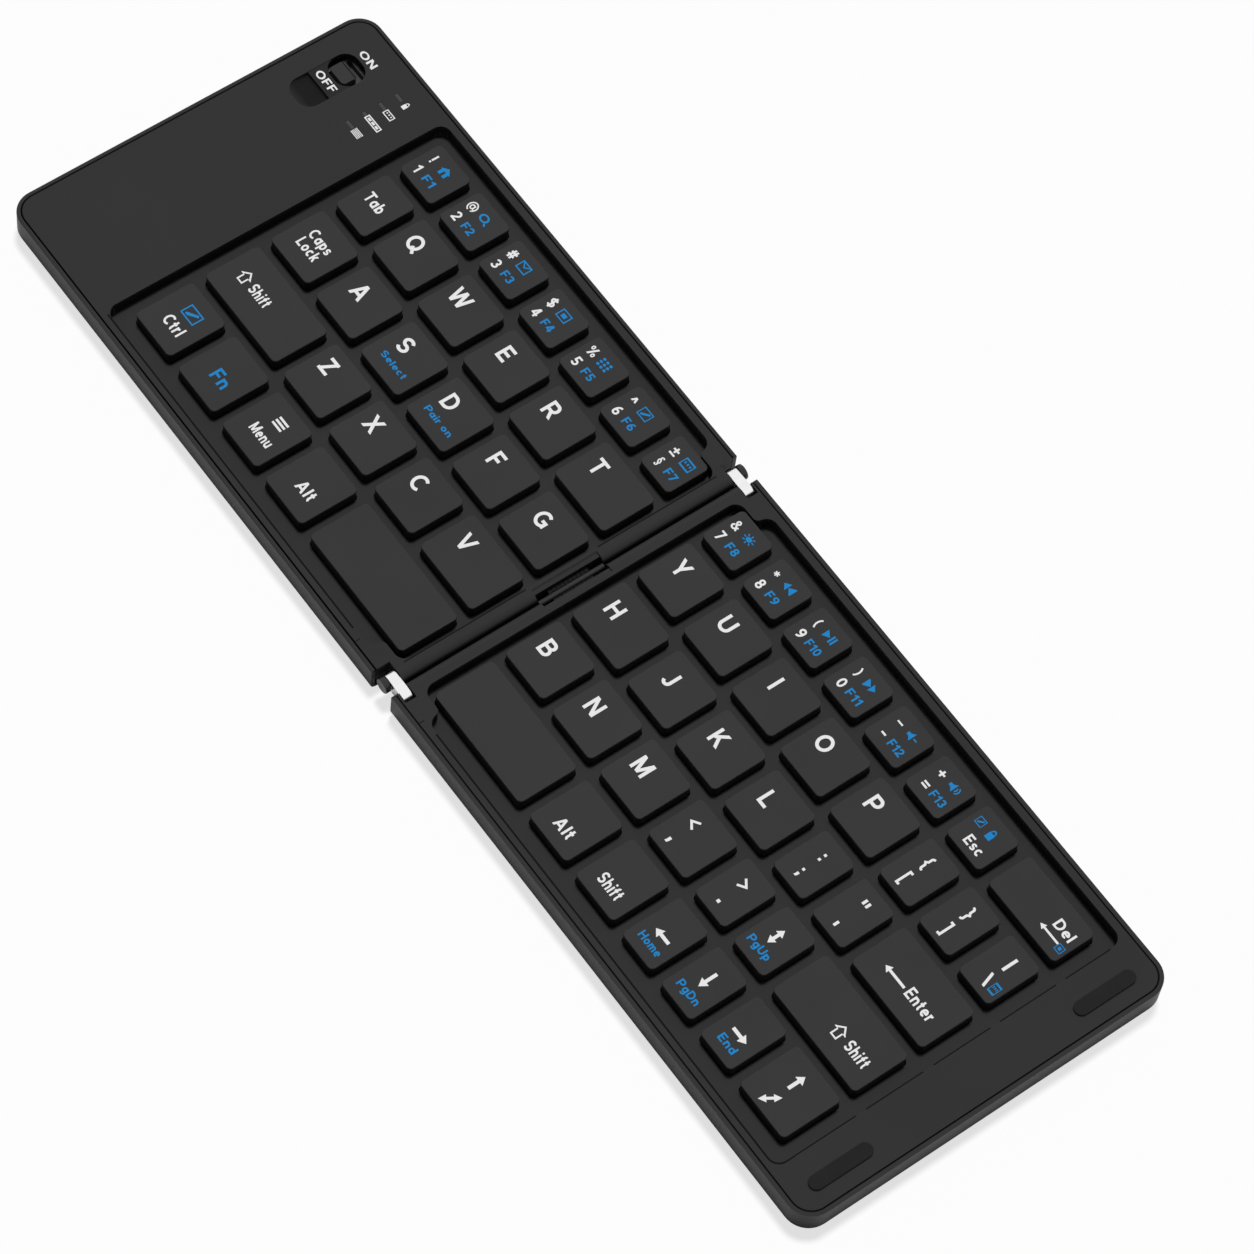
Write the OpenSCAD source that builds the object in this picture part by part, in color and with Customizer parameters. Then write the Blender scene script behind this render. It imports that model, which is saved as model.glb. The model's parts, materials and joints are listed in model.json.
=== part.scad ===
// Folding keyboard: two halves joined by a pair of double-pivot hinge links.
// It lies open with the left half on -X, the right half on +X, the space bars
// towards -Y, and its rubber feet on z = 0. The hinge line is at x = 0.

/* [Body] */
// Length of one half, from the hinge line to its end
half_len = 138.8; // [134:0.2:150]
// Width of the body, from the user's edge to the far edge
body_w = 91.2; // [90:0.2:100]
// Thickness of one half, without its feet
half_t = 7.0; // [6.8:0.1:9]
// Radius of the outer corners
corner_r = 5.5; // [4:0.1:8]
// Radius of the bottom shell's lower outer edge
edge_r = 1.5; // [0.5:0.1:2]
// Width of the shell's rim round the top cover, which is its wall
rim_w = 1.0; // [0.8:0.05:1.4]
// Gap between the top cover and the shell's rim
cover_gap = 0.15; // [0.05:0.01:0.3]
// Thickness of the shell's floor
floor_t = 1.0; // [0.8:0.05:1.4]
// Thickness of the top cover
cover_t = 1.2; // [1:0.05:1.6]

/* [Key well] */
// Depth of the well that the keys stand in
well_depth = 3.2; // [2.6:0.05:3.6]
// Thickness of the well's floor
well_floor_t = 0.8; // [0.6:0.05:1]
// Thickness of the well's side walls
well_wall = 0.8; // [0.6:0.05:1.2]
// Width of the plain strip at the left end
left_strip = 33.1; // [31:0.1:38]
// Width of the plain strip at the right end
right_strip = 12.9; // [12:0.1:16]
// Width of the rim along the two long edges
long_rim = 2.9; // [2.6:0.05:4]
// Width of the bar between the well and the hinge line
hinge_bar = 3.6; // [3.4:0.05:4.2]
// Radius of the well's corners
well_r = 2.5; // [1.5:0.1:4]
// Length of the solid block in each well corner at the hinge
block_len = 6.3; // [5.6:0.1:8]
// Width of that block, measured from the well's long side
block_w = 3.3; // [2.6:0.1:4]
// Radius of the block's inner corner
block_r = 1.2; // [0.6:0.1:1.6]

/* [Keys] */
// Gap between neighbouring keys
key_gap = 3.0; // [2.4:0.05:3.6]
// Gap between neighbouring rows of keys
row_gap = 2.95; // [2.4:0.05:3.4]
// Width of a letter key, before a row is fitted to the well
letter_w = 13.3; // [11:0.05:15]
// Width of a number key on the left half, before fitting
left_number_w = 11.3; // [9:0.05:13]
// Width of a number key on the right half, before fitting
right_number_w = 10.6; // [9:0.05:12]
// Width of a punctuation or arrow key, before fitting
small_w = 9.8; // [8.5:0.05:11]
// Height of the number row's keys, before the rows are fitted to the well
number_h = 10.8; // [9.5:0.05:12]
// Height of the three letter rows' keys, before fitting
letter_h = 13.5; // [12:0.05:15]
// Height of the space bar row's keys, before fitting
space_h = 14.3; // [12:0.05:16]
// Gap between the well's end wall and the first or last key
end_margin = 4.0; // [3:0.1:5]
// Gap between the keys and the hinge bar
bar_margin = 2.2; // [1.6:0.1:3]
// Gap between the well's far wall and the number row
far_margin = 3.6; // [2.8:0.1:4.4]
// Gap between the well's near wall and the space bar row
near_margin = 4.6; // [3:0.1:5.4]
// Radius of the key corners
key_r = 1.1; // [0.6:0.1:1.6]
// Depth of the key tops below the cover's face
key_sink = 0.2; // [0:0.05:0.4]
// Height of a keycap
key_height = 3.5; // [3.4:0.05:3.7]
// Travel of a key
key_travel = 1.2; // [0.8:0.05:1.3]
// Thickness of a keycap's top
key_top_t = 1.0; // [0.7:0.05:1.2]
// Thickness of a keycap's skirt
key_skirt_t = 0.9; // [0.6:0.05:1.1]
// Running gap between a keycap and its opening
key_clear = 0.2; // [0.1:0.01:0.3]
// Width of the square stem under a keycap
stem_w = 3.4; // [2.4:0.1:4]

/* [Key stack] */
// Thickness of the steel plate under the keys
plate_t = 0.4; // [0.3:0.05:0.5]
// Thickness of the contact membrane
membrane_t = 0.25; // [0.15:0.05:0.3]
// Thickness of the silicone dome sheet
sheet_t = 0.25; // [0.2:0.05:0.3]
// Gap between the key stack and the walls round it
stack_gap = 0.6; // [0.4:0.1:1]
// Radius of a dome at its foot
dome_r = 2.4; // [1.8:0.1:2.8]
// Radius of a dome's top, where the stem presses
dome_top_r = 1.2; // [0.8:0.1:1.5]

/* [Hinge] */
// Depth of both hinge pivots below the cover's face
pivot_depth = 1.8; // [1.7:0.05:2.1]
// Gap between the two faces when the keyboard is folded
fold_gap = 0.7; // [0.6:0.05:1.2]
// Gap between the two halves when it lies open
open_gap = 0.4; // [0.3:0.05:0.5]
// Radius of the lower hinge edge
hinge_edge_r = 2.5; // [1.5:0.1:3]
// Radius of a link's round ends
link_r = 1.7; // [1.5:0.05:1.8]
// Width of a link, along the hinge line
link_w = 2.4; // [2:0.1:2.8]
// Distance of a link's outer face from the long edge of the body
link_edge = 1.8; // [1.6:0.1:2.4]
// Gap on each side of a link
link_side_gap = 0.15; // [0.05:0.01:0.2]
// Radius of the hinge pins
pin_r = 0.8; // [0.7:0.05:0.9]
// Running gap of the links on their pins
pin_clear = 0.05; // [0.02:0.01:0.1]
// Length of a hinge pin inside its hinge bar
pin_grip = 8.0; // [5:0.5:12]
// Radius of the black cap on each left hinge pin
cap_r = 1.75; // [1.4:0.05:1.8]
// Thickness of that cap
cap_t = 1.3; // [0.8:0.05:1.5]
// Free space between a link's end and the left half
left_notch_gap = 1.3; // [0.4:0.1:1.6]
// Free space between a link's end and the right half
right_notch_gap = 0.5; // [0.3:0.1:1]
// Length of the open corner beside the link on the right half
cheek_x = 1.7; // [1.2:0.1:2.4]
// Length of the cable slot in the middle of the hinge
slot_len = 16.4; // [12:0.2:20]
// Width of the cable slot over both halves
slot_w = 3.2; // [2.8:0.1:3.6]
// Radius of the cable sleeve in the slot
sleeve_r = 0.6; // [0.5:0.05:0.7]
// Gap round the sleeve in every position
sleeve_gap = 0.12; // [0.08:0.01:0.2]

/* [Cable] */
// Thickness of the flat cable between the halves
flex_t = 0.2; // [0.15:0.01:0.25]
// Width of the flat cable
flex_w = 10.0; // [6:0.5:11]
// Length of the cable's end that lies on the key stack
flex_lap = 2.5; // [1.5:0.1:2.6]
// Space round the cable inside the hinge bar
flex_room = 0.3; // [0.2:0.05:0.5]
// Distance of the cable's bend from the well
flex_wall = 0.7; // [0.6:0.05:1]

/* [Power switch] */
// Distance of the switch from the left end
switch_end = 10.6; // [9:0.1:12]
// Distance of the switch opening's centre from the far long edge
switch_edge = 12.4; // [11:0.1:14]
// Width of the switch opening
switch_w = 8.2; // [7.4:0.1:9]
// Length of the switch opening
switch_len = 7.2; // [6.8:0.1:8]
// Corner radius of the switch opening
switch_r = 3.2; // [2:0.1:3.4]
// Width of the switch knob
knob_w = 5.3; // [4.4:0.1:5.8]
// Length of the switch knob
knob_len = 3.8; // [3:0.1:4]
// Travel of the switch knob
knob_travel = 1.6; // [1:0.1:2]
// Depth of the knob's top below the cover's face
knob_sink = 0.4; // [0.2:0.05:0.8]
// Length of the label bridge between opening and finger scoop
bridge_len = 3.6; // [3:0.1:5]
// Length of the finger scoop
scoop_len = 6.2; // [5:0.1:8]
// Depth of the finger scoop at its deep end
scoop_depth = 0.8; // [0.4:0.05:0.9]

/* [Indicators] */
// Distance of the indicator windows from the left end
lens_end = 22.6; // [21:0.1:25]
// Length of an indicator window
lens_len = 2.4; // [1.6:0.1:3]
// Width of an indicator window
lens_w = 0.9; // [0.6:0.1:1.2]
// Distance from one indicator window to the next
lens_pitch = 4.2; // [3:0.1:5]
// Number of indicator windows
lens_count = 4; // [2:1:5]
// Distance of the first window's centre from the far long edge
lens_edge = 7.2; // [6:0.1:9]

/* [Closing pads and feet] */
// Length of a closing pad
pad_len = 15.0; // [10:0.5:20]
// Width of a closing pad
pad_w = 3.3; // [2.4:0.1:5]
// Height that a closing pad stands proud
pad_proud = 0.6; // [0.3:0.05:0.6]
// Depth of a pad's or foot's seat
seat_depth = 0.5; // [0.3:0.05:0.6]
// Distance of the pads' centre line from the right end
pad_end = 6.0; // [5:0.1:7]
// Distance of the pads' centres from the long edges
pad_edge = 13.1; // [10:0.1:25]
// Height that the rubber feet stand proud
foot_h = 0.6; // [0.4:0.05:1]
// Length of a rubber foot
foot_len = 14.0; // [8:0.5:20]
// Width of a rubber foot
foot_w = 4.0; // [3:0.1:6]
// Distance of the feet from each end of a half
foot_end = 14.0; // [12:0.5:20]
// Distance of the feet from the long edges
foot_edge = 8.0; // [7:0.5:14]

/* [Electronics] */
// Length of the main board, along the strip
board_len = 40.0; // [36:0.5:42]
// Width of the main board
board_w = 27.0; // [25:0.5:28]
// Thickness of the main board
board_t = 0.8; // [0.6:0.1:1]
// Height of the posts that carry the main board
post_h = 1.0; // [0.8:0.1:1.2]
// Gap between the battery and the board or screw boss at its ends
battery_gap = 2.0; // [1:0.1:4]
// Width of the battery
battery_w = 24.0; // [18:0.5:26]
// Thickness of the battery
battery_t = 3.8; // [3:0.1:4.2]
// Width of the charging socket
socket_w = 7.6; // [7:0.1:9]
// Height of the charging socket
socket_h = 2.6; // [2.4:0.1:2.8]
// Depth of the charging socket
socket_len = 5.4; // [5:0.1:7]
// Distance of the charging socket's centre from the board's near end
socket_off = 10.4; // [9:0.1:20]
// Side of the square radio module
radio_w = 10.0; // [8:0.5:12]
// Thickness of the radio module
radio_t = 1.4; // [1:0.1:1.8]

/* [Screws] */
// Radius of a case screw's shank
screw_r = 0.7; // [0.6:0.05:0.8]
// Radius of a case screw's head
screw_head_r = 1.4; // [1.2:0.05:1.6]
// Thickness of a case screw's head
screw_head_t = 0.7; // [0.5:0.05:0.8]
// Radius of the screw bosses
boss_r = 1.7; // [1.5:0.05:2]
// Gap between a screw and its hole
screw_clear = 0.05; // [0.02:0.01:0.1]

/* [Hidden] */
$fn = 48;
// How far a cut runs past a face, and how deep two joined shapes meet
cut = 0.5;
lap = 0.1;
half_w = body_w / 2;

// Heights, from the surface that the keyboard lies on
shell_z = foot_h;
floor_z = shell_z + floor_t;
top_z = shell_z + half_t;
under_z = top_z - cover_t;
well_z = top_z - well_depth;
well_under_z = well_z - well_floor_t;
pivot_z = top_z - pivot_depth;
key_top_z = top_z - key_sink;
key_low_z = key_top_z - key_height;
dome_foot = 0.5;
dome_flat = 0.2;
sheet_step = 0.3;
bar_lift = 0.2;
seat_gap = 0.05;
pin_seat = 0.5;
bar_z = well_under_z + bar_lift;
plate_z = floor_z;
membrane_z = plate_z + plate_t;
sheet_z = membrane_z + membrane_t;
dome_z = sheet_z + sheet_t;
stem_z = dome_z + key_travel + dome_flat;

// Hinge geometry, seen along the hinge line
pivot_x = pivot_depth + fold_gap / 2;
hinge_edge = open_gap / 2;
barrel_x = hinge_edge + pivot_depth;
link_out = half_w - link_edge;
link_y = link_out - link_w;
notch_in = link_y - link_side_gap;
notch_out = link_out + link_side_gap;
left_notch = pivot_x + link_r + left_notch_gap;
right_notch = pivot_x + link_r + right_notch_gap;
sweep_r = pivot_x - sleeve_r - sleeve_gap;
sleeve_len = slot_len - 2 * sleeve_gap;
channel_len = flex_w + 2 * flex_room;
flex_bend_x = hinge_bar - flex_wall;
flex_low_z = dome_z;
flex_tip = sleeve_r + sleeve_gap;
flex_end_x = flex_bend_x + flex_lap;

// Plan of the covers and the wells, for a half that runs from 0 to half_len
cover_end = half_len - rim_w - cover_gap;
cover_y = half_w - rim_w - cover_gap;
cover_r = corner_r - rim_w - cover_gap;
well_y = half_w - long_rim;
block_x = hinge_bar + block_len;
block_y = well_y - block_w;
left_well_end = half_len - left_strip;
right_well_end = half_len - right_strip;

// Rows of keys, from the number row to the space bar row. A row's widths run
// along +X and are shares: each row is fitted to the length of its well.
row_shares = [number_h, letter_h, letter_h, letter_h, space_h];
row_count = len(row_shares);
grid = 0.02;
tab_w = 10.4;
ctrl_w = 12.6;
fn_w = 13.1;
caps_w = 13.5;
left_shift_w = 25.7;
left_space_w = 32.3;
upper_end_w = 17.1;
home_end_w = 14.0;
lower_end_w = 18.1;
home_start_w = 16.0;
delete_w = 21.1;
backslash_w = 9.5;
enter_w = 22.7;
right_shift_w = 26.7;
right_space_w = 29.4;
up_down_w = 14.2;
left_rows = [
    [for (i = [0:5]) left_number_w, small_w],
    [tab_w, letter_w, letter_w, letter_w, letter_w, upper_end_w],
    [caps_w, letter_w, letter_w, letter_w, letter_w, home_end_w],
    [left_shift_w, letter_w, letter_w, letter_w, lower_end_w],
    [ctrl_w, fn_w, ctrl_w, fn_w, left_space_w]
];
right_rows = [
    [for (i = [0:6]) right_number_w, delete_w],
    [ctrl_w, letter_w, letter_w, letter_w, letter_w, small_w, small_w, backslash_w],
    [home_start_w, letter_w, letter_w, letter_w, small_w, small_w, enter_w],
    [fn_w, letter_w, letter_w, ctrl_w, small_w, small_w, right_shift_w],
    [right_space_w, ctrl_w, ctrl_w, small_w, small_w, small_w, up_down_w]
];
left_keys_x = -left_well_end + end_margin;
left_keys_w = left_well_end - end_margin - hinge_bar - bar_margin;
right_keys_x = hinge_bar + bar_margin;
right_keys_w = right_well_end - hinge_bar - bar_margin - end_margin;

function total(v, n, i = 0) = i < n ? v[i] + total(v, n, i + 1) : 0;
function to_grid(size) = round(size / grid) * grid;
function fitted(v, span, gap) =
    let (unit = (span - (len(v) - 1) * gap) / total(v, len(v)))
    [for (share = v) to_grid(share * unit)];
row_h = fitted(row_shares, 2 * well_y - far_margin - near_margin, row_gap);
function row_top(row) = well_y - far_margin - total(row_h, row) - row * row_gap;
function row_mid(row) = row_top(row) - row_h[row] / 2;
function key_mid(v, i) = total(v, i) + i * key_gap + v[i] / 2;
// A key is [centre x, centre y, width, height].
function keys_of(rows, x0, span, row) =
    let (v = fitted(rows[row], span, key_gap))
    [for (i = [0:len(v) - 1]) [x0 + key_mid(v, i), row_mid(row), v[i], row_h[row]]];
function left_keys(row) = keys_of(left_rows, left_keys_x, left_keys_w, row);
function right_keys(row) = keys_of(right_rows, right_keys_x, right_keys_w, row);

// Places of the screws, feet and pads on a half that runs from 0 to half_len
screw_x = half_len - corner_r;
screw_y = half_w - corner_r;
hinge_screw_x = (left_notch + block_x) / 2;
hinge_screw_y = (block_y + cover_y) / 2;
screw_places = [
    [screw_x, screw_y], [screw_x, -screw_y],
    [hinge_screw_x, hinge_screw_y], [hinge_screw_x, -hinge_screw_y]
];
foot_y = half_w - foot_edge;
pad_y = half_w - pad_edge;
foot_places = [[foot_end, foot_y], [foot_end, -foot_y],
               [half_len - foot_end, foot_y], [half_len - foot_end, -foot_y]];
shell_boss_h = 1.8;
boss_step = 0.3;
head_z = shell_z + 0.15;

// Small parts of the left strip
knob_r = 0.9;
knob_clear = 0.2;
groove_depth = 0.25;
groove_w = 0.5;
housing_wall = 0.8;
housing_floor = 0.6;
housing_h = 2.0;
led_h = 0.6;
led_step = 0.8;
lens_clear = 0.1;
recess_depth = 0.15;
board_gap = 1.2;
board_r = 1.5;
board_screw_r = 0.5;
board_screw_in = 0.3;
post_r = 1.6;
post_inset = 3.0;
socket_wall = 0.4;
socket_clear = 0.2;

// Left strip
strip_mid_x = -(half_len + left_well_end) / 2;
switch_x = -half_len + switch_end;
switch_y = half_w - switch_edge;
switch_low_y = switch_y - switch_len / 2;
scoop_y = switch_low_y - bridge_len;
knob_y = switch_y - knob_travel / 2;
knob_z = top_z - knob_sink;
lens_x = -half_len + lens_end;
lens_top_y = half_w - lens_edge;
board_x = strip_mid_x - board_gap / 2;
board_far_y = half_w - rim_w - board_gap;
board_near_y = board_far_y - board_len;
board_y = board_far_y - board_len / 2;
board_z = floor_z + post_h;
board_top = board_z + board_t;
battery_far_y = board_near_y - battery_gap;
battery_near_y = -screw_y + boss_r + battery_gap;
battery_len = battery_far_y - battery_near_y;
battery_y = (battery_far_y + battery_near_y) / 2;
battery_z = floor_z + seat_gap;
post_x = board_w / 2 - post_inset;
post_y = board_len / 2 - post_inset;
post_places = [[post_x, post_y], [post_x, -post_y], [-post_x, -post_y]];
socket_x = -half_len + rim_w + seat_gap;
socket_y = board_near_y + socket_off;
socket_z = board_top + seat_gap / 2;
radio_x = board_x + board_w / 2 - post_inset - radio_w;
radio_y = board_near_y + 2 * post_inset;

shell_black = "#2b2b2d";
cover_black = "#303032";
key_black = "#353537";
pad_black = "#1b1b1c";
silver = "#d8dadc";

// A round bar along Y from y0 to y1
module bar_y(r, x, z, y0, y1) {
    translate([x, y1, z]) rotate([90, 0, 0]) cylinder(r = r, h = y1 - y0);
}

// A block between two corners
module block(low, high) {
    translate(low) cube(high - low);
}

// A rectangle with round corners, centred on a point
module round_rect(x, y, w, h, r) {
    translate([x, y]) {
        square([w - 2 * r, h], center = true);
        square([w, h - 2 * r], center = true);
        for (sx = [-1, 1], sy = [-1, 1]) {
            translate([sx * (w / 2 - r), sy * (h / 2 - r)]) circle(r = r);
        }
    }
}

// A slot with round ends, along Y
module slot_shape(w, len) {
    square([w, len - w], center = true);
    for (sy = [-1, 1]) translate([0, sy * (len - w) / 2]) circle(d = w);
}

// Outer wall's section: it reaches out to reach, with its lower corner round
module wall_section(reach, h) {
    translate([0, edge_r]) square([reach, h - edge_r]);
    square([reach - edge_r, edge_r]);
    translate([reach - edge_r, edge_r]) circle(r = edge_r);
}

// Full body of a half that runs from 0 to half_len, before its hinge edge
module half_body() {
    inner_x = half_len - corner_r;
    inner_y = half_w - corner_r;
    translate([0, 0, shell_z]) {
        block([0, -inner_y, 0], [inner_x, inner_y, half_t]);
        for (sy = [-1, 1]) mirror([0, sy < 0 ? 1 : 0, 0]) {
            translate([0, inner_y, 0]) rotate([90, 0, 90])
                linear_extrude(inner_x) wall_section(corner_r, half_t);
            translate([inner_x, inner_y, 0]) rotate_extrude(angle = 90)
                intersection() {
                    wall_section(corner_r, half_t);
                    square([corner_r, half_t]);
                }
        }
        translate([inner_x, inner_y, 0]) rotate([90, 0, 0])
            linear_extrude(2 * inner_y) wall_section(corner_r, half_t);
    }
}

// Section across the hinge of the space that a half may fill
module hinge_section() {
    low_x = hinge_edge + hinge_edge_r;
    low_z = shell_z + hinge_edge_r;
    translate([barrel_x, pivot_z]) circle(r = pivot_depth);
    translate([low_x, low_z]) circle(r = hinge_edge_r);
    block_2d([hinge_edge, low_z], [barrel_x, pivot_z]);
    block_2d([barrel_x, low_z], [half_len + cut, top_z + cut]);
    block_2d([low_x, shell_z - cut], [half_len + cut, low_z + lap]);
}

module block_2d(low, high) {
    translate(low) square(high - low);
}

module hinge_space() {
    translate([0, half_w + cut, 0]) rotate([90, 0, 0])
        linear_extrude(body_w + 2 * cut) hinge_section();
}

// Room for the hinge link at both ends of the hinge line
module link_notch(notch_x, open_x) {
    for (sy = [-1, 1]) mirror([0, sy < 0 ? 1 : 0, 0]) {
        block([-cut, notch_in, shell_z - cut], [notch_x, notch_out, top_z + cut]);
        block([-cut, notch_out - lap, shell_z - cut], [open_x, half_w + cut, top_z + cut]);
    }
}

// Room for the cable sleeve, which passes both pivots as the halves fold
module sleeve_room() {
    block([-cut, -slot_len / 2, bar_z - cut], [slot_w / 2, slot_len / 2, top_z + cut]);
    difference() {
        block([-cut, -slot_len / 2, pivot_z], [pivot_x, slot_len / 2, top_z + cut]);
        bar_y(sweep_r, pivot_x, pivot_z, -slot_len, slot_len);
    }
    bar_y(sleeve_r + sleeve_gap, pivot_x, pivot_z + pivot_x, -slot_len / 2, slot_len / 2);
    block([-cut, -channel_len / 2, bar_z - cut],
          [flex_bend_x + flex_room, channel_len / 2, pivot_z + flex_room]);
}

module well_shape(well_end) {
    long = well_end - block_x;
    translate([0, 0]) {
        round_rect(block_x + long / 2, 0, long, 2 * well_y, well_r);
        round_rect((block_x + hinge_bar + well_r * 2) / 2, 0,
                   block_x - hinge_bar + well_r * 2, 2 * block_y, well_r);
        block_2d([block_x - well_r, -block_y], [block_x + well_r, block_y]);
        for (sy = [-1, 1]) mirror([0, sy < 0 ? 1 : 0]) difference() {
            block_2d([block_x - block_r, block_y - lap], [block_x + lap, block_y + block_r]);
            translate([block_x - block_r, block_y + block_r]) circle(r = block_r);
        }
    }
}

module cover_plan() {
    intersection() {
        round_rect(0, 0, 2 * cover_end, 2 * cover_y, cover_r);
        translate([0, -half_w]) square([half_len, body_w]);
    }
}

// Plan of the well's walls outside the well itself
module well_wall_plan(well_end) {
    block_2d([hinge_edge, -well_y - well_wall], [well_end + well_wall, well_y + well_wall]);
}

module screw_bosses() {
    low_z = shell_z + shell_boss_h + seat_gap;
    for (p = screw_places) translate([p[0], p[1], low_z])
        cylinder(r = boss_r, h = under_z + lap - low_z);
}

module screw_bores() {
    for (p = screw_places) translate([p[0], p[1], floor_z])
        cylinder(r = screw_r + screw_clear, h = under_z - floor_z);
}

// Top cover of a half that runs from 0 to half_len
module cover_body(well_end, notch_x, open_x) {
    difference() {
        intersection() {
            union() {
                translate([0, 0, under_z]) linear_extrude(cover_t) cover_plan();
                translate([0, 0, well_under_z]) linear_extrude(under_z - well_under_z + lap)
                    well_wall_plan(well_end);
                for (sy = [-1, 1]) mirror([0, sy < 0 ? 1 : 0, 0])
                    block([hinge_edge, block_y, bar_z], [block_x, cover_y, under_z + lap]);
                screw_bosses();
            }
            hinge_space();
        }
        translate([0, 0, well_z]) linear_extrude(well_depth + cut) well_shape(well_end);
        block([-cut, -body_w, well_under_z - cut], [hinge_bar, body_w, bar_z]);
        link_notch(notch_x, open_x);
        sleeve_room();
        screw_bores();
        for (sy = [-1, 1]) mirror([0, sy < 0 ? 1 : 0, 0])
            bar_y(pin_r, pivot_x, pivot_z, notch_in - pin_grip, notch_out + pin_seat);
    }
}

module key_openings(rows_of) {
    for (row = [0:row_count - 1], k = rows_of(row))
        translate([0, 0, well_under_z - cut]) linear_extrude(well_floor_t + 2 * cut)
            round_rect(k[0], k[1], k[2] + 2 * key_clear, k[3] + 2 * key_clear,
                       key_r + key_clear);
}

// Bottom shell of a half that runs from 0 to half_len
module shell_body(notch_x, open_x) {
    difference() {
        union() {
            intersection() {
                difference() {
                    half_body();
                    translate([0, 0, floor_z]) linear_extrude(half_t) intersection() {
                        round_rect(0, 0, 2 * (half_len - rim_w), 2 * (half_w - rim_w),
                                   corner_r - rim_w);
                        translate([hinge_edge + rim_w, -half_w]) square([half_len, body_w]);
                    }
                    block([-cut, -half_w + rim_w, bar_z - lap],
                          [2 * rim_w, half_w - rim_w, top_z + cut]);
                }
                hinge_space();
            }
            for (p = screw_places) translate([p[0], p[1], shell_z + floor_t / 2])
                cylinder(r = boss_r + boss_step, h = shell_boss_h - floor_t / 2);
        }
        link_notch(notch_x, open_x);
        for (p = screw_places) translate([p[0], p[1], shell_z - cut]) {
            cylinder(r = screw_head_r + screw_clear, h = head_z - shell_z + screw_head_t + cut);
            cylinder(r = screw_r + screw_clear, h = half_t);
        }
        for (p = foot_places) translate([p[0], p[1], shell_z - cut]) rotate(90)
            linear_extrude(seat_depth + cut) slot_shape(foot_w, foot_len);
    }
}

module screw_set() {
    for (p = screw_places) translate([p[0], p[1], head_z]) {
        cylinder(r = screw_head_r, h = screw_head_t);
        cylinder(r = screw_r, h = under_z - head_z - boss_step);
    }
}

module foot_set() {
    for (p = foot_places) translate([p[0], p[1], 0]) rotate(90)
        linear_extrude(foot_h + seat_depth) slot_shape(foot_w, foot_len);
}

// Sheet under the keys of a half that runs from 0 to half_len
module stack_sheet(well_end, z, t, inset) {
    x0 = hinge_edge + rim_w + stack_gap + inset;
    y0 = half_w - rim_w - stack_gap - inset;
    relief_x = hinge_screw_x + boss_r + boss_step + stack_gap;
    relief_y = hinge_screw_y - boss_r - boss_step - stack_gap;
    difference() {
        block([x0, -y0, z], [well_end - inset, y0, z + t]);
        for (sy = [-1, 1]) mirror([0, sy < 0 ? 1 : 0, 0])
            block([-cut, relief_y, z - cut], [relief_x, half_w, z + t + cut]);
    }
}

module domes(rows_of) {
    for (row = [0:row_count - 1], k = rows_of(row)) translate([k[0], k[1], sheet_z]) {
        cylinder(r = dome_r, h = sheet_t + dome_foot);
        cylinder(r = dome_top_r, h = stem_z - sheet_z);
    }
}

module keycap(k) {
    inner_w = k[2] - 2 * key_skirt_t;
    inner_h = k[3] - 2 * key_skirt_t;
    roof_z = key_top_z - key_top_t;
    difference() {
        translate([0, 0, key_low_z]) linear_extrude(key_height)
            round_rect(k[0], k[1], k[2], k[3], key_r);
        translate([k[0] - inner_w / 2, k[1] - inner_h / 2, key_low_z - cut])
            cube([inner_w, inner_h, roof_z - key_low_z + cut]);
    }
    translate([k[0] - stem_w / 2, k[1] - stem_w / 2, stem_z])
        cube([stem_w, stem_w, roof_z - stem_z + lap]);
}

module keycaps(row_keys, first, last) {
    color(key_black) for (i = [first:last]) keycap(row_keys[i]);
}

// Left half
module left_bottom_shell() {
    color(shell_black) difference() {
        union() {
            mirror([1, 0, 0]) shell_body(left_notch, left_notch);
            for (p = post_places) translate([board_x + p[0], board_y + p[1], floor_z - lap])
                cylinder(r = post_r, h = post_h + lap);
        }
        for (p = post_places) translate([board_x + p[0], board_y + p[1], floor_z - board_screw_in])
            cylinder(r = board_screw_r + screw_clear, h = half_t);
        block([-half_len - cut, socket_y - socket_w / 2 - socket_clear, socket_z - socket_clear],
              [-half_len + rim_w + cut, socket_y + socket_w / 2 + socket_clear,
               socket_z + socket_h + socket_clear]);
    }
}

module left_top_cover() {
    color(cover_black) difference() {
        mirror([1, 0, 0]) cover_body(left_well_end, left_notch, left_notch);
        key_openings(function(row) left_keys(row));
        switch_cuts();
        for (i = [0:lens_count - 1])
            translate([lens_x, lens_top_y - i * lens_pitch, under_z - cut])
                linear_extrude(cover_t + 2 * cut) square([lens_len, lens_w], center = true);
    }
}

// Opening for the knob, shallow label bridge and sloping finger scoop
module switch_cuts() {
    translate([0, 0, under_z - cut]) linear_extrude(cover_t + 2 * cut)
        round_rect(switch_x, switch_y, switch_w, switch_len, switch_r);
    intersection() {
        translate([0, 0, under_z]) linear_extrude(cover_t + cut)
            round_rect(switch_x, scoop_y, switch_w, 2 * scoop_len, switch_r);
        translate([switch_x - switch_w, scoop_y, top_z]) rotate([90, 0, 90])
            linear_extrude(2 * switch_w)
                polygon([[0, -scoop_depth], [0, cut], [-scoop_len, cut],
                         [-scoop_len, -recess_depth]]);
    }
    translate([0, 0, top_z - recess_depth]) linear_extrude(cut)
        round_rect(switch_x, (switch_y + switch_len / 2 + scoop_y - scoop_len) / 2, switch_w,
                   switch_len + bridge_len + scoop_len, switch_r);
}

module left_support_plate() {
    color("#8d9094") mirror([1, 0, 0]) stack_sheet(left_well_end, plate_z, plate_t, 0);
}

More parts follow.
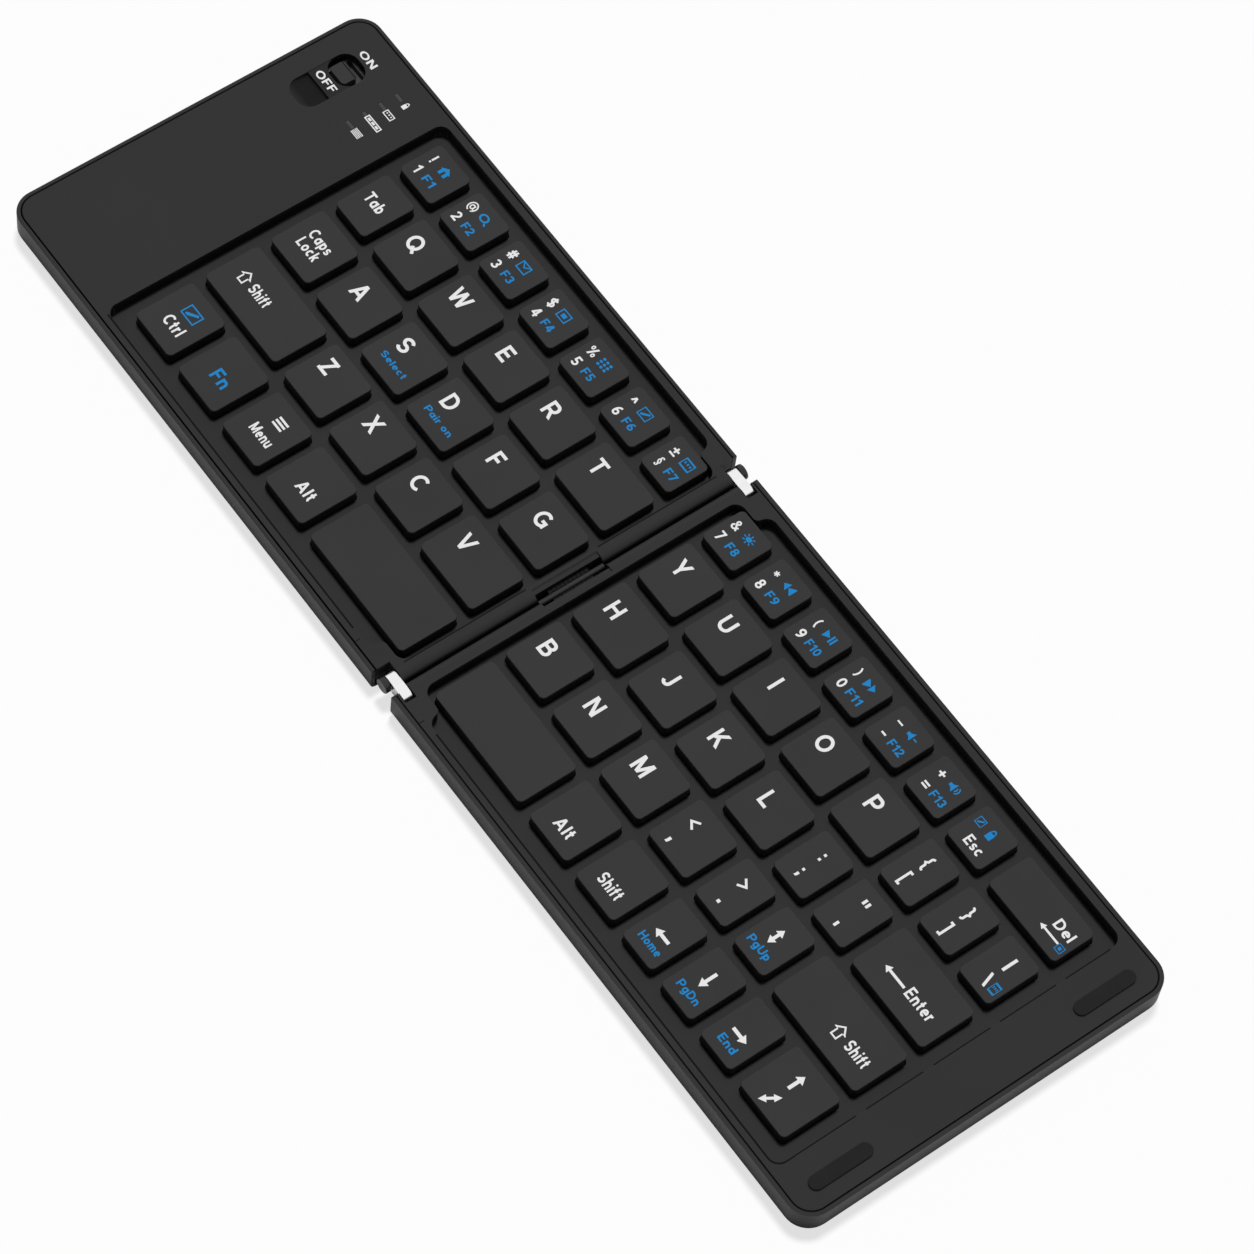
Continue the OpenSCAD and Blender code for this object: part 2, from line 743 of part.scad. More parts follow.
module left_membrane() {
    color("#c9c3a4") mirror([1, 0, 0]) stack_sheet(left_well_end, membrane_z, membrane_t, sheet_step);
}

module left_dome_sheet() {
    color("#d9d9d4") {
        mirror([1, 0, 0]) stack_sheet(left_well_end, sheet_z, sheet_t, 2 * sheet_step);
        domes(function(row) left_keys(row));
    }
}

module left_feet() {
    color(pad_black) mirror([1, 0, 0]) foot_set();
}

module left_screws() {
    color("#6f7276") mirror([1, 0, 0]) screw_set();
}

module main_board() {
    color("#1f5b3a") difference() {
        translate([0, 0, board_z]) linear_extrude(board_t)
            round_rect(board_x, board_y, board_w, board_len, board_r);
        translate([-screw_x, screw_y, board_z - cut])
            cylinder(r = boss_r + stack_gap, h = board_t + 2 * cut);
        for (p = post_places) translate([board_x + p[0], board_y + p[1], board_z - cut])
            cylinder(r = board_screw_r + screw_clear, h = board_t + 2 * cut);
    }
}

module radio_module() {
    color("#b9bcc0") translate([radio_x, radio_y, board_top]) cube([radio_w, radio_w, radio_t]);
}

module indicator_leds() {
    color("#e8efe2") for (i = [0:lens_count - 1])
        translate([lens_x, lens_top_y - i * lens_pitch, board_top])
            linear_extrude(led_h) square([lens_len - led_step, lens_w - lens_clear],
                                         center = true);
}

module board_screws() {
    color("#6f7276") for (p = post_places) translate([board_x + p[0], board_y + p[1], 0]) {
        translate([0, 0, board_top]) cylinder(r = 2 * board_screw_r, h = board_screw_r);
        translate([0, 0, floor_z - lap]) cylinder(r = board_screw_r, h = board_top - floor_z + 2 * lap);
    }
}

module battery() {
    color("#9a9da1") translate([strip_mid_x, battery_y, battery_z]) linear_extrude(battery_t)
        round_rect(0, 0, battery_w, battery_len, board_r);
}

module power_switch_housing() {
    in_x = knob_w / 2 + knob_clear;
    in_y = (knob_len + knob_travel) / 2 + knob_clear;
    color("#4a4c50") difference() {
        block([switch_x - in_x - housing_wall, switch_y - in_y - housing_wall, board_top],
              [switch_x + in_x + housing_wall, switch_y + in_y + housing_wall,
               board_top + housing_h]);
        block([switch_x - in_x, switch_y - in_y, board_top + housing_floor],
              [switch_x + in_x, switch_y + in_y, board_top + housing_h + cut]);
    }
}

module power_switch_knob() {
    low = board_top + housing_floor + seat_gap;
    groove_y = knob_y + knob_len / 4;
    color("#242426") difference() {
        translate([0, 0, low]) linear_extrude(knob_z - low)
            round_rect(switch_x, knob_y, knob_w, knob_len, knob_r);
        block([switch_x - knob_w, groove_y, knob_z - groove_depth],
              [switch_x + knob_w, groove_y + groove_w, knob_z + cut]);
    }
}

module indicator_lenses() {
    low = board_top + led_h + lens_clear;
    color("#cfd3d6") for (i = [0:lens_count - 1])
        translate([lens_x, lens_top_y - i * lens_pitch, low])
            linear_extrude(top_z - seat_gap - low)
                square([lens_len - lens_clear, lens_w - lens_clear], center = true);
}

module charging_socket() {
    in_w = socket_w - 2 * socket_wall;
    in_h = socket_h - 2 * socket_wall;
    back_x = socket_x + socket_len - socket_wall;
    translate([0, socket_y, socket_z + socket_h / 2]) {
        color("#c2c5c8") difference() {
            block([socket_x, -socket_w / 2, -socket_h / 2],
                  [socket_x + socket_len, socket_w / 2, socket_h / 2]);
            block([socket_x - cut, -in_w / 2, -in_h / 2], [back_x, in_w / 2, in_h / 2]);
        }
        color("#202124") block([socket_x + socket_wall, -in_w / 4, -in_h / 6],
                               [back_x + lap, in_w / 4, in_h / 6]);
    }
}

// Flat cable of a half that runs from 0 to half_len: across the hinge bar at
// the height of the pivots, down inside the bar and onto the key stack
module flex_run() {
    y0 = flex_w / 2;
    block([flex_tip, -y0, pivot_z - flex_t / 2], [flex_bend_x, y0, pivot_z + flex_t / 2]);
    block([flex_bend_x - flex_t, -y0, flex_low_z], [flex_bend_x, y0, pivot_z]);
    block([flex_bend_x - flex_t, -y0, flex_low_z], [flex_end_x, y0, flex_low_z + flex_t]);
}

module left_flex_cable() {
    color("#b8792f") mirror([1, 0, 0]) flex_run();
}

module hinge_pin_pair(x, y_end) {
    for (sy = [-1, 1]) mirror([0, sy < 0 ? 1 : 0, 0])
        bar_y(pin_r, x, pivot_z, notch_in - pin_grip, y_end);
}

module left_hinge_pins() {
    color("#9fa2a6") hinge_pin_pair(-pivot_x, notch_out + cap_t / 2);
}

module hinge_pin_caps() {
    color(pad_black) for (sy = [-1, 1]) mirror([0, sy < 0 ? 1 : 0, 0]) difference() {
        bar_y(cap_r, -pivot_x, pivot_z, notch_out, notch_out + cap_t);
        bar_y(pin_r, -pivot_x, pivot_z, notch_out - cut, notch_out + cap_t / 2);
    }
}

module hinge_links() {
    color(silver) for (sy = [-1, 1]) mirror([0, sy < 0 ? 1 : 0, 0]) difference() {
        union() {
            block([-pivot_x, link_y, pivot_z - link_r], [pivot_x, link_out, pivot_z + link_r]);
            for (sx = [-1, 1]) bar_y(link_r, sx * pivot_x, pivot_z, link_y, link_out);
        }
        for (sx = [-1, 1])
            bar_y(pin_r + pin_clear, sx * pivot_x, pivot_z, link_y - cut, link_out + cut);
    }
}

module cable_sleeve() {
    color(cover_black) difference() {
        bar_y(sleeve_r, 0, pivot_z, -sleeve_len / 2, sleeve_len / 2);
        block([-2 * sleeve_r, -flex_w / 2 - seat_gap, pivot_z - flex_t / 2 - seat_gap],
              [2 * sleeve_r, flex_w / 2 + seat_gap, pivot_z + flex_t / 2 + seat_gap]);
    }
}

// Right half
module right_bottom_shell() {
    color(shell_black) shell_body(right_notch, cheek_x);
}

module right_top_cover() {
    color(cover_black) difference() {
        cover_body(right_well_end, right_notch, cheek_x);
        key_openings(function(row) right_keys(row));
        for (sy = [-1, 1]) translate([half_len - pad_end, sy * pad_y, top_z - seat_depth])
            linear_extrude(seat_depth + cut) slot_shape(pad_w, pad_len);
    }
}

module right_support_plate() {
    color("#8d9094") stack_sheet(right_well_end, plate_z, plate_t, 0);
}

module right_membrane() {
    color("#c9c3a4") stack_sheet(right_well_end, membrane_z, membrane_t, sheet_step);
}

module right_dome_sheet() {
    color("#d9d9d4") {
        stack_sheet(right_well_end, sheet_z, sheet_t, 2 * sheet_step);
        domes(function(row) right_keys(row));
    }
}

module right_feet() {
    color(pad_black) foot_set();
}

module right_screws() {
    color("#6f7276") screw_set();
}

module right_flex_cable() {
    color("#b8792f") flex_run();
}

module right_hinge_pins() {
    color("#9fa2a6") hinge_pin_pair(pivot_x, notch_out + pin_seat - seat_gap);
}

module closing_pads() {
    color(pad_black) for (sy = [-1, 1])
        translate([half_len - pad_end, sy * pad_y, top_z - seat_depth])
            linear_extrude(seat_depth + pad_proud) slot_shape(pad_w, pad_len);
}

left_bottom_shell();
left_top_cover();
left_support_plate();
left_membrane();
left_dome_sheet();
left_feet();
left_screws();
main_board();
radio_module();
indicator_leds();
board_screws();
battery();
power_switch_housing();
power_switch_knob();
indicator_lenses();
charging_socket();
left_flex_cable();
left_hinge_pins();
hinge_pin_caps();
hinge_links();
cable_sleeve();
right_bottom_shell();
right_top_cover();
right_support_plate();
right_membrane();
right_dome_sheet();
right_feet();
right_screws();
right_flex_cable();
right_hinge_pins();
closing_pads();
keycaps(left_keys(0), 0, 6);  // left_number_keys
keycaps(left_keys(1), 0, 0);  // tab_key
keycaps(left_keys(1), 1, 5);  // left_upper_letter_keys
keycaps(left_keys(2), 0, 0);  // caps_lock_key
keycaps(left_keys(2), 1, 5);  // left_home_letter_keys
keycaps(left_keys(3), 0, 0);  // left_shift_key
keycaps(left_keys(3), 1, 4);  // left_lower_letter_keys
keycaps(left_keys(4), 0, 0);  // left_ctrl_key
keycaps(left_keys(4), 1, 1);  // fn_key
keycaps(left_keys(4), 2, 2);  // system_key
keycaps(left_keys(4), 3, 3);  // left_alt_key
keycaps(left_keys(4), 4, 4);  // left_space_bar
keycaps(right_keys(0), 0, 5);  // right_number_keys
keycaps(right_keys(0), 6, 6);  // escape_key
keycaps(right_keys(0), 7, 7);  // delete_key
keycaps(right_keys(1), 0, 7);  // right_upper_letter_keys
keycaps(right_keys(2), 0, 5);  // right_home_letter_keys
keycaps(right_keys(2), 6, 6);  // enter_key
keycaps(right_keys(3), 0, 4);  // right_lower_letter_keys
keycaps(right_keys(3), 5, 5);  // page_up_key
keycaps(right_keys(3), 6, 6);  // right_shift_key
keycaps(right_keys(4), 0, 0);  // right_space_bar
keycaps(right_keys(4), 1, 1);  // right_alt_key
keycaps(right_keys(4), 2, 2);  // small_shift_key
keycaps(right_keys(4), 3, 3);  // left_arrow_key
keycaps(right_keys(4), 4, 4);  // down_arrow_key
keycaps(right_keys(4), 5, 5);  // right_arrow_key
keycaps(right_keys(4), 6, 6);  // up_down_key
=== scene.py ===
"""Looks for a folding keyboard: moulded shells, keycaps with printed legends, bright links."""

import json
import logging
import math
from collections.abc import Callable, Iterable, Sequence
from dataclasses import dataclass
from enum import Enum

import bmesh
import bpy
import numpy as np
from mathutils import Matrix, Vector


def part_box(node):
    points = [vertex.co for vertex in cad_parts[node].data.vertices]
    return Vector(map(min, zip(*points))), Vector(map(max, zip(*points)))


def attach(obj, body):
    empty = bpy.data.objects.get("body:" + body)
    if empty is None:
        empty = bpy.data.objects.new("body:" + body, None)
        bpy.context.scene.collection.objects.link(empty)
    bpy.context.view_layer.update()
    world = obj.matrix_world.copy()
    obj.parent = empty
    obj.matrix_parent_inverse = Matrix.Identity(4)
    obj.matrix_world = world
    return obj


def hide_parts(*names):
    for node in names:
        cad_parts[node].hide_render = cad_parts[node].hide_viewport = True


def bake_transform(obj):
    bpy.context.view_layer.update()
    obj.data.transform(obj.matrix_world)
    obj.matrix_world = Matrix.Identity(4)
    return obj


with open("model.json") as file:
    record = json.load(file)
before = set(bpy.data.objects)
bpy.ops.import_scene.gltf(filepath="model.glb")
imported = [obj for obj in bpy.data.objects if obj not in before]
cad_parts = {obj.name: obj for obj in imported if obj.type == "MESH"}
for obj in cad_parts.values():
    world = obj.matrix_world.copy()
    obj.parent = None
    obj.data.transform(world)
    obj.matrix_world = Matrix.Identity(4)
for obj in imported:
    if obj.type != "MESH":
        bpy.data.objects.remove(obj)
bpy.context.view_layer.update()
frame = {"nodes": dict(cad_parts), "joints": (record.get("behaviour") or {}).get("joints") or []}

log = logging.getLogger("folding_keyboard")
MM = 0.001
MM_PER_METRE = 1000
MERGE_REACH = 0.002 * MM
SMOOTH_DEGREES = 32.0
DIRECTION_STEPS = 200
DISTANCE_STEPS = 100_000

Socket = bpy.types.NodeSocket
Mesh = bpy.types.Mesh
Object = bpy.types.Object
BMesh = bmesh.types.BMesh
Tone = tuple[float, float, float]
Point = tuple[float, float]
Outline = list[Point]
EdgeTest = Callable[[bmesh.types.BMEdge], bool]


# ------------------------------------------------------------------ node trees


class Tree:
    """A node tree that is filled one node at a time."""

    prefix = "ShaderNode"

    def __init__(self, tree: bpy.types.NodeTree) -> None:
        """Takes over a tree and empties it."""
        self.tree = tree
        tree.nodes.clear()

    def wire(self, target: Socket, value: "Operand") -> None:
        """Links an input to a value's socket, or sets it.

        Args:
            target: The input.
            value: A value, a socket or a plain number, vector or colour.
        """
        source = value.socket if isinstance(value, Value) else value
        if isinstance(source, Socket):
            self.tree.links.new(source, target)
        else:
            target.default_value = source

    def node(
        self, kind: str, settings: dict | None = None, sockets: dict | None = None
    ) -> bpy.types.Node:
        """Adds one node.

        Args:
            kind: The node's type, in full or without the tree's prefix.
            settings: Its properties, set first.
            sockets: Values or links for its inputs.

        Returns:
            The new node.
        """
        made = self.tree.nodes.new(kind if "Node" in kind else self.prefix + kind)
        for key, value in (settings or {}).items():
            setattr(made, key, value)
        for key, value in (sockets or {}).items():
            self.wire(made.inputs[key], value)
        return made

    def out(
        self,
        kind: str,
        settings: dict | None = None,
        sockets: dict | None = None,
        take: int | str = 0,
    ) -> Socket:
        """Adds one node, as node() does, and returns its output of the given number or name."""
        return self.node(kind, settings, sockets).outputs[take]


def adds(operation: str, *fixed: float, swap: bool = False) -> Callable[..., "Value"]:
    """Makes a method of Value that adds one Math node.

    Args:
        operation: The node's operation.
        fixed: Operands that come after the method's own.
        swap: True where the value itself comes last.

    Returns:
        The method.
    """

    def method(value: "Value", *others: "Value | float") -> "Value":
        """Adds the node and wraps its result.

        Args:
            value: The value whose method it is.
            others: The method's own operands.

        Returns:
            The node's result.
        """
        operands = (*others, *fixed, value) if swap else (value, *others, *fixed)
        sockets = dict(enumerate(operands))
        made = value.tree.out("ShaderNodeMath", {"operation": operation}, sockets)
        return Value(value.tree, made)

    return method


class Value:
    """A socket on which Python operators add Math nodes.

    over(limit) and near(middle, reach) give 1 or 0, wrapped(period) starts again at each period,
    size() drops the sign, and at_least(other) and at_most(other) choose between two values.
    """

    def __init__(self, tree: Tree, socket: Socket) -> None:
        """Wraps a socket of a tree."""
        self.tree = tree
        self.socket = socket

    __add__ = __radd__ = adds("ADD")
    __sub__ = adds("SUBTRACT")
    __rsub__ = adds("SUBTRACT", swap=True)
    __mul__ = __rmul__ = adds("MULTIPLY")
    __pow__ = adds("POWER")
    over = adds("GREATER_THAN")
    near = adds("COMPARE")
    wrapped = adds("WRAP", 0.0)
    size = adds("ABSOLUTE")
    at_least = adds("MAXIMUM")
    at_most = adds("MINIMUM")

    def clipped(self) -> "Value":
        """Keeps the value between 0 and 1."""
        return self.at_most(1.0).at_least(0.0)


Operand = Value | float | Sequence[float] | Socket


class Shader(Tree):
    """One material and its node tree, with a Principled surface."""

    def __init__(self, name: str) -> None:
        """Makes a material with an empty surface.

        Args:
            name: The material's name.
        """
        self.material = bpy.data.materials.new(name)
        self.material.use_nodes = True
        super().__init__(self.material.node_tree)
        self.surface = self.node("BsdfPrincipled")
        self.output = self.node("OutputMaterial", {}, {"Surface": self.surface.outputs[0]})
        self.place = self.out("TexCoord", take="Object")

    def noise(
        self, size_mm: float, detail: float = 2.0, stretch: Sequence[float] = (1, 1, 1)
    ) -> Value:
        """Gives a noise pattern in the object's own space.

        Args:
            size_mm: The size of one grain.
            detail: The number of finer octaves.
            stretch: How many grain sizes long the pattern is along each axis.

        Returns:
            The noise, from about 0.2 to 0.8.
        """
        scale = [1 / (MM * size_mm * part) for part in stretch]
        mapped = self.out("Mapping", {}, {"Vector": self.place, "Scale": scale})
        sockets = {"Vector": mapped, "Scale": 1.0, "Detail": detail}
        return Value(self, self.out("TexNoise", {}, sockets))

    def mm(self, letter: str, sign: int = 1) -> Value:
        """Gives the object's X, Y or Z coordinate in millimetres, with its sign kept or turned."""
        place = self.out("SeparateXYZ", {}, {0: self.place}, letter)
        return Value(self, place) * (sign * MM_PER_METRE)

    def stripes(self, letter: str, pitch: float, half: float, middle: float = 0.0) -> Value:
        """Gives 1 on stripes across an axis and 0 between them, in millimetres."""
        return self.mm(letter).wrapped(pitch).near(middle, half)

    def blend(self, factor: Value, low: Operand, high: Operand) -> Socket:
        """Mixes two colours by a value.

        Args:
            factor: The value, 0 for the first colour and 1 for the second.
            low: The first colour.
            high: The second colour.

        Returns:
            The mixed colour.
        """
        low, high = (end if isinstance(end, Socket) else (*end, 1.0) for end in (low, high))
        sockets = {0: factor, 6: low, 7: high}
        return self.out("Mix", {"data_type": "RGBA"}, sockets, 2)

    def bump(self, height: Value, depth_mm: float) -> None:
        """Feeds a height pattern to the surface's normal."""
        sockets = {"Strength": 1.0, "Distance": depth_mm * MM, "Height": height}
        self.feed(Normal=self.out("Bump", {}, sockets))

    def feed(self, **sockets: Operand) -> None:
        """Sets or links the surface's inputs, with _ for a blank in their names."""
        for key, value in sockets.items():
            self.wire(self.surface.inputs[key.replace("_", " ")], value)


# -------------------------------------------------------------------- finishes


def scaled(tone: Tone, factor: float) -> Tone:
    """Makes a tone paler or darker."""
    return tuple(factor * part for part in tone)


@dataclass(frozen=True)
class Finish:
    """A finish that makes one material, once."""

    name: str

    def shade(self, shader: Shader) -> None:
        """Builds the finish's nodes in a new material's shader."""
        raise NotImplementedError

    def material(self) -> bpy.types.Material:
        """Makes the finish's material on first use.

        Returns:
            The material.
        """
        known = bpy.data.materials.get(self.name)
        if known:
            return known
        shader = Shader(self.name)
        self.shade(shader)
        return shader.material


@dataclass(frozen=True)
class RoundedShadeLine:
    """A painted shade line round a round-cornered rectangle, or at its near right corner, in mm."""

    half_length: float = 137.65
    half_width: float = 44.45
    corner: float = 4.35
    middle: float = 0.08
    reach: float = 0.2
    corner_from: Point | None = None

    def mark(self, shader: Shader) -> Value:
        """Marks the line, from the distance to the rectangle's edge.

        Args:
            shader: The material that it is drawn in.

        Returns:
            1 on the line and 0 elsewhere.
        """
        x = shader.mm("X").size() - (self.half_length - self.corner)
        y = shader.mm("Y").size() - (self.half_width - self.corner)
        outward = (x.at_least(0.0) ** 2 + y.at_least(0.0) ** 2) ** 0.5
        inward = x.at_least(y).at_most(0.0)
        line = (outward + inward).near(self.corner + self.middle, self.reach)
        if self.corner_from:
            right, near = self.corner_from
            line = line * shader.mm("X").over(right) * shader.mm("Y", -1).over(near)
        return line


@dataclass(frozen=True)
class EdgeLine:
    """A thin dark line along one edge, in millimetres.

    Each of its spans is a middle and a half length, and across is the axis that it crosses.
    """

    place: float
    spans: tuple[Point, ...]
    reach: float = 0.14
    across: str = "X"

    def mark(self, shader: Shader) -> Value:
        """Marks the line.

        Args:
            shader: The material that it is drawn in.

        Returns:
            1 on the line and 0 elsewhere.
        """
        along = shader.mm("Y" if self.across == "X" else "X")
        spans = sum((along.near(middle, half) for middle, half in self.spans), start=0.0)
        return shader.mm(self.across).near(self.place, self.reach) * spans


@dataclass(frozen=True)
class MouldedPlastic(Finish):
    """Black moulded plastic with a fine spark-eroded grain.

    Painted shade darkens the walls between the two shade heights, where recesses fall dark,
    and a scoop beyond its start towards -X, which reaches higher by its rise. Lines are drawn
    above lines_from_mm; on the shell and cover they are painted shadow in gaps and at well
    edges, and seam marks.
    """

    tone: Tone
    roughness: float
    grain_mm: float
    grain_depth_mm: float
    specular: float = 0.35
    # painted shade on recess walls: the heights it lies between, and its share of the tone
    painted_shade_mm: Point | None = None
    painted_shade_tone: float = 0.2
    # painted shade in the switch scoop: where it starts towards -X and how much higher it reaches
    scoop_shade_mm: Point | None = None
    lines: tuple[RoundedShadeLine | EdgeLine, ...] = ()
    lines_from_mm: float = 6.8
    line_tone: Tone = (0.001, 0.001, 0.001)
    fade_per_mm: float = 1.5
    cloud_mm: float = 26.0
    darkest: float = 0.86
    palest: float = 1.18

    def shade(self, shader: Shader) -> None:
        """Mottles the tone and gloss, raises the grain, draws the lines and paints shade on the
        walls.

        Args:
            shader: The material.
        """
        grain = shader.noise(self.grain_mm, 3.0)
        cloud = shader.noise(self.cloud_mm)
        tint = (cloud * 0.75 + grain * 0.45 - 0.1).clipped()
        dark, pale = scaled(self.tone, self.darkest), scaled(self.tone, self.palest)
        colour = shader.blend(tint, dark, pale)
        height = shader.mm("Z")
        # the lines: painted shadow in gaps and at well edges, and seam marks
        if self.lines:
            marks = sum((line.mark(shader) for line in self.lines), start=0.0).clipped()
            colour = shader.blend(marks * height.over(self.lines_from_mm), colour, self.line_tone)
        # painted shade: darker towards the foot of recess walls, and in the scoop
        if self.painted_shade_mm:
            low, high = self.painted_shade_mm
            depth = (high - height) * self.fade_per_mm
            if self.scoop_shade_mm:
                start, rise = self.scoop_shade_mm
                scoop = shader.mm("X", -1).over(start)
                depth = (depth + scoop * (self.fade_per_mm * rise)) * (1 + scoop)
            walls = depth.clipped() * height.over(low)
            colour = shader.blend(walls, colour, scaled(self.tone, self.painted_shade_tone))
        shader.feed(
            Base_Color=colour,
            Roughness=(cloud * 0.08 + grain * 0.1 + (self.roughness - 0.09)).clipped(),
            Specular_IOR_Level=self.specular,
        )
        shader.bump(grain, self.grain_depth_mm)


@dataclass(frozen=True)
class MouldedRubber(Finish):
    """Matte rubber with a pale, dusty bloom."""

    tone: Tone
    grain_mm: float = 0.3
    grain_depth_mm: float = 0.012
    bloom_mm: float = 5.0
    bloom_cover: float = 2.2
    bloom_tone: float = 1.9
    roughness: float = 0.62
    specular: float = 0.25

    def shade(self, shader: Shader) -> None:
        """Adds the bloom over a coarse grain.

        Args:
            shader: The material.
        """
        grain = shader.noise(self.grain_mm, 4.0)
        bloom = (shader.noise(self.bloom_mm, 3.0) * grain * self.bloom_cover).clipped()
        shader.feed(
            Base_Color=shader.blend(bloom, self.tone, scaled(self.tone, self.bloom_tone)),
            Roughness=(grain * 0.2 + self.roughness).clipped(),
            Specular_IOR_Level=self.specular,
        )
        shader.bump(grain, self.grain_depth_mm)


@dataclass(frozen=True)
class BrightMetal(Finish):
    """Metal with fine lines along one axis."""

    tone: Tone
    roughness: float
    lines: Tone = (0.12, 6.0, 0.12)
    line_depth_mm: float = 0.003
    cloud_mm: float = 3.0
    dullest: float = 0.82

    def shade(self, shader: Shader) -> None:
        """Draws the lines and varies the gloss along them.

        Args:
            shader: The material.
        """
        brushed = shader.noise(1.0, 2.0, self.lines)
        cloud = shader.noise(self.cloud_mm)
        tint = (brushed * 0.8 + cloud * 0.4).clipped()
        shader.feed(
            Base_Color=shader.blend(tint, scaled(self.tone, self.dullest), self.tone),
            Metallic=1.0,
            Roughness=(brushed * 0.14 + cloud * 0.08 + (self.roughness - 0.1)).clipped(),
        )
        shader.bump(brushed, self.line_depth_mm)


@dataclass(frozen=True)
class CloudedSurface(Finish):
    """A material whose tone, gloss and relief follow one soft pattern.

    The gloss and the cover of the high tone are each a factor of the pattern and an offset.
    """

    low: Tone
    high: Tone
    grain_mm: float
    detail: float
    gloss: Point
    depth_mm: float = 0.0
    specular: float = 0.5
    metallic: float = 0.0
    cover: Point = (1.0, 0.0)
    stretch: Tone = (1.0, 1.0, 1.0)

    def shade(self, shader: Shader) -> None:
        """Lets the pattern drive the tone, the gloss and the relief.

        Args:
            shader: The material.
        """
        pattern = shader.noise(self.grain_mm, self.detail, self.stretch)
        shades = [(pattern * k + offset).clipped() for k, offset in (self.cover, self.gloss)]
        shader.feed(
            Base_Color=shader.blend(shades[0], self.low, self.high),
            Metallic=self.metallic,
            Roughness=shades[1],
            Specular_IOR_Level=self.specular,
        )
        if self.depth_mm:
            shader.bump(pattern, self.depth_mm)


@dataclass(frozen=True)
class CircuitBoard(Finish):
    """Green solder mask over copper tracks."""

    pitch_mm: float = 1.3
    half_track_mm: float = 0.28
    track_depth_mm: float = 0.03
    field_mm: float = 6.0
    mask: Tone = (0.008, 0.07, 0.03)
    track: Tone = (0.02, 0.16, 0.06)

    def shade(self, shader: Shader) -> None:
        """Draws a field of tracks that turn where a coarse pattern changes.

        Args:
            shader: The material.
        """
        across, along = (shader.stripes(a, self.pitch_mm, self.half_track_mm) for a in "XY")
        turn = shader.noise(self.field_mm, 0.0).over(0.5)
        tracks = across * turn + along * (1 - turn)
        shader.feed(
            Base_Color=shader.blend(tracks.clipped(), self.mask, self.track),
            Roughness=(tracks * 0.08 + 0.3).clipped(),
        )
        shader.bump(tracks, self.track_depth_mm)


@dataclass(frozen=True)
class TracedFilm(Finish):
    """Film with thin lines, each set with its axis, pitch, half width and middle."""

    film: Tone
    trace: Tone
    sets: tuple[tuple[str, float, float, float], ...]
    haze_mm: float
    roughness: float
    specular: float = 0.5
    line_depth_mm: float = 0.02

    def shade(self, shader: Shader) -> None:
        """Prints the lines and hazes the film.

        Args:
            shader: The material.
        """
        lines = sum((shader.stripes(*each) for each in self.sets), start=0.0).clipped()
        haze = shader.noise(self.haze_mm)
        shader.feed(
            Base_Color=shader.blend(lines, self.film, self.trace),
            Roughness=(haze * 0.2 + self.roughness).clipped(),
            Specular_IOR_Level=self.specular,
        )
        shader.bump(lines, self.line_depth_mm)


def ink_finish(name: str, tone: Tone) -> CloudedSurface:
    """Makes the finish of an ink that covers a little unevenly.

    Args:
        name: The material's name.
        tone: The ink's tone where it covers fully.

    Returns:
        The finish.
    """
    return CloudedSurface(
        name,
        low=scaled(tone, 0.86),
        high=tone,
        grain_mm=0.35,
        detail=3.0,
        gloss=(0.2, 0.4),
        specular=0.3,
        cover=(1.5, -0.1),
    )


def light_window(name: str, tone: Tone) -> CloudedSurface:
    """Makes the finish of frosted clear plastic over a light.

    Args:
        name: The material's name.
        tone: Its darker tone.

    Returns:
        The finish.
    """
    return CloudedSurface(
        name,
        low=tone,
        high=scaled(tone, 1.5),
        grain_mm=0.4,
        detail=3.0,
        gloss=(0.3, 0.2),
        depth_mm=0.01,
    )


WELL_END = 126.03
WELL_NEAR_EDGE = 42.93
WELL_HINGE_END = 3.45
END_SPANS = ((33.7, 5.7), (18.7, 7.0), (2.3, 7.0), (-14.2, 7.0), (-31.0, 7.4))
HINGE_SPANS = ((24.0, 15.0), (-24.0, 15.0))
NEAR_SPANS = ((-60.0, 44.5), (68.45, 54.95))
# painted shade at the rounded near right corner of the right key well
NEAR_CORNER_SHADE = RoundedShadeLine(
    half_length=WELL_END,
    half_width=WELL_NEAR_EDGE,
    corner=2.5,
    middle=0.0,
    reach=0.2,
    corner_from=(123.4, 38.4),
)
# painted shade along the key wells' edges: a dark line at the right end's wall top, a shadow line
# at the hinge end and a dark band at the near edge
WELL_SHADE_LINES = (
    EdgeLine(WELL_END, END_SPANS),
    EdgeLine(-WELL_HINGE_END, HINGE_SPANS),
    EdgeLine(-WELL_NEAR_EDGE, NEAR_SPANS, reach=0.2, across="Y"),
    NEAR_CORNER_SHADE,
)
# painted shadow in the parting gap between cover and shell
COVER_GAP_SHADOW = RoundedShadeLine()
RIM_MARKS = tuple(EdgeLine(place, ((-43.8, 0.65),), reach=0.1) for place in (-12.7, 9.6))
# the shell carries the painted shadow of the parting gap
SHELL = MouldedPlastic(
    "shell_plastic",
    (0.0245, 0.0245, 0.025),
    roughness=0.46,
    grain_mm=0.18,
    grain_depth_mm=0.005,
    specular=0.16,
    lines=(COVER_GAP_SHADOW,),
)
# painted shade on the cover's recess walls and in the switch scoop, painted shadow lines at the
# parting gap and well edges, and seam marks on the rim
COVER = MouldedPlastic(
    "cover_plastic",
    (0.0275, 0.0275, 0.028),
    roughness=0.48,
    grain_mm=0.16,
    grain_depth_mm=0.005,
    specular=0.1,
    painted_shade_mm=(4.47, 7.1),
    scoop_shade_mm=(106.0, 0.49),
    lines=(COVER_GAP_SHADOW, *WELL_SHADE_LINES, *RIM_MARKS),
)
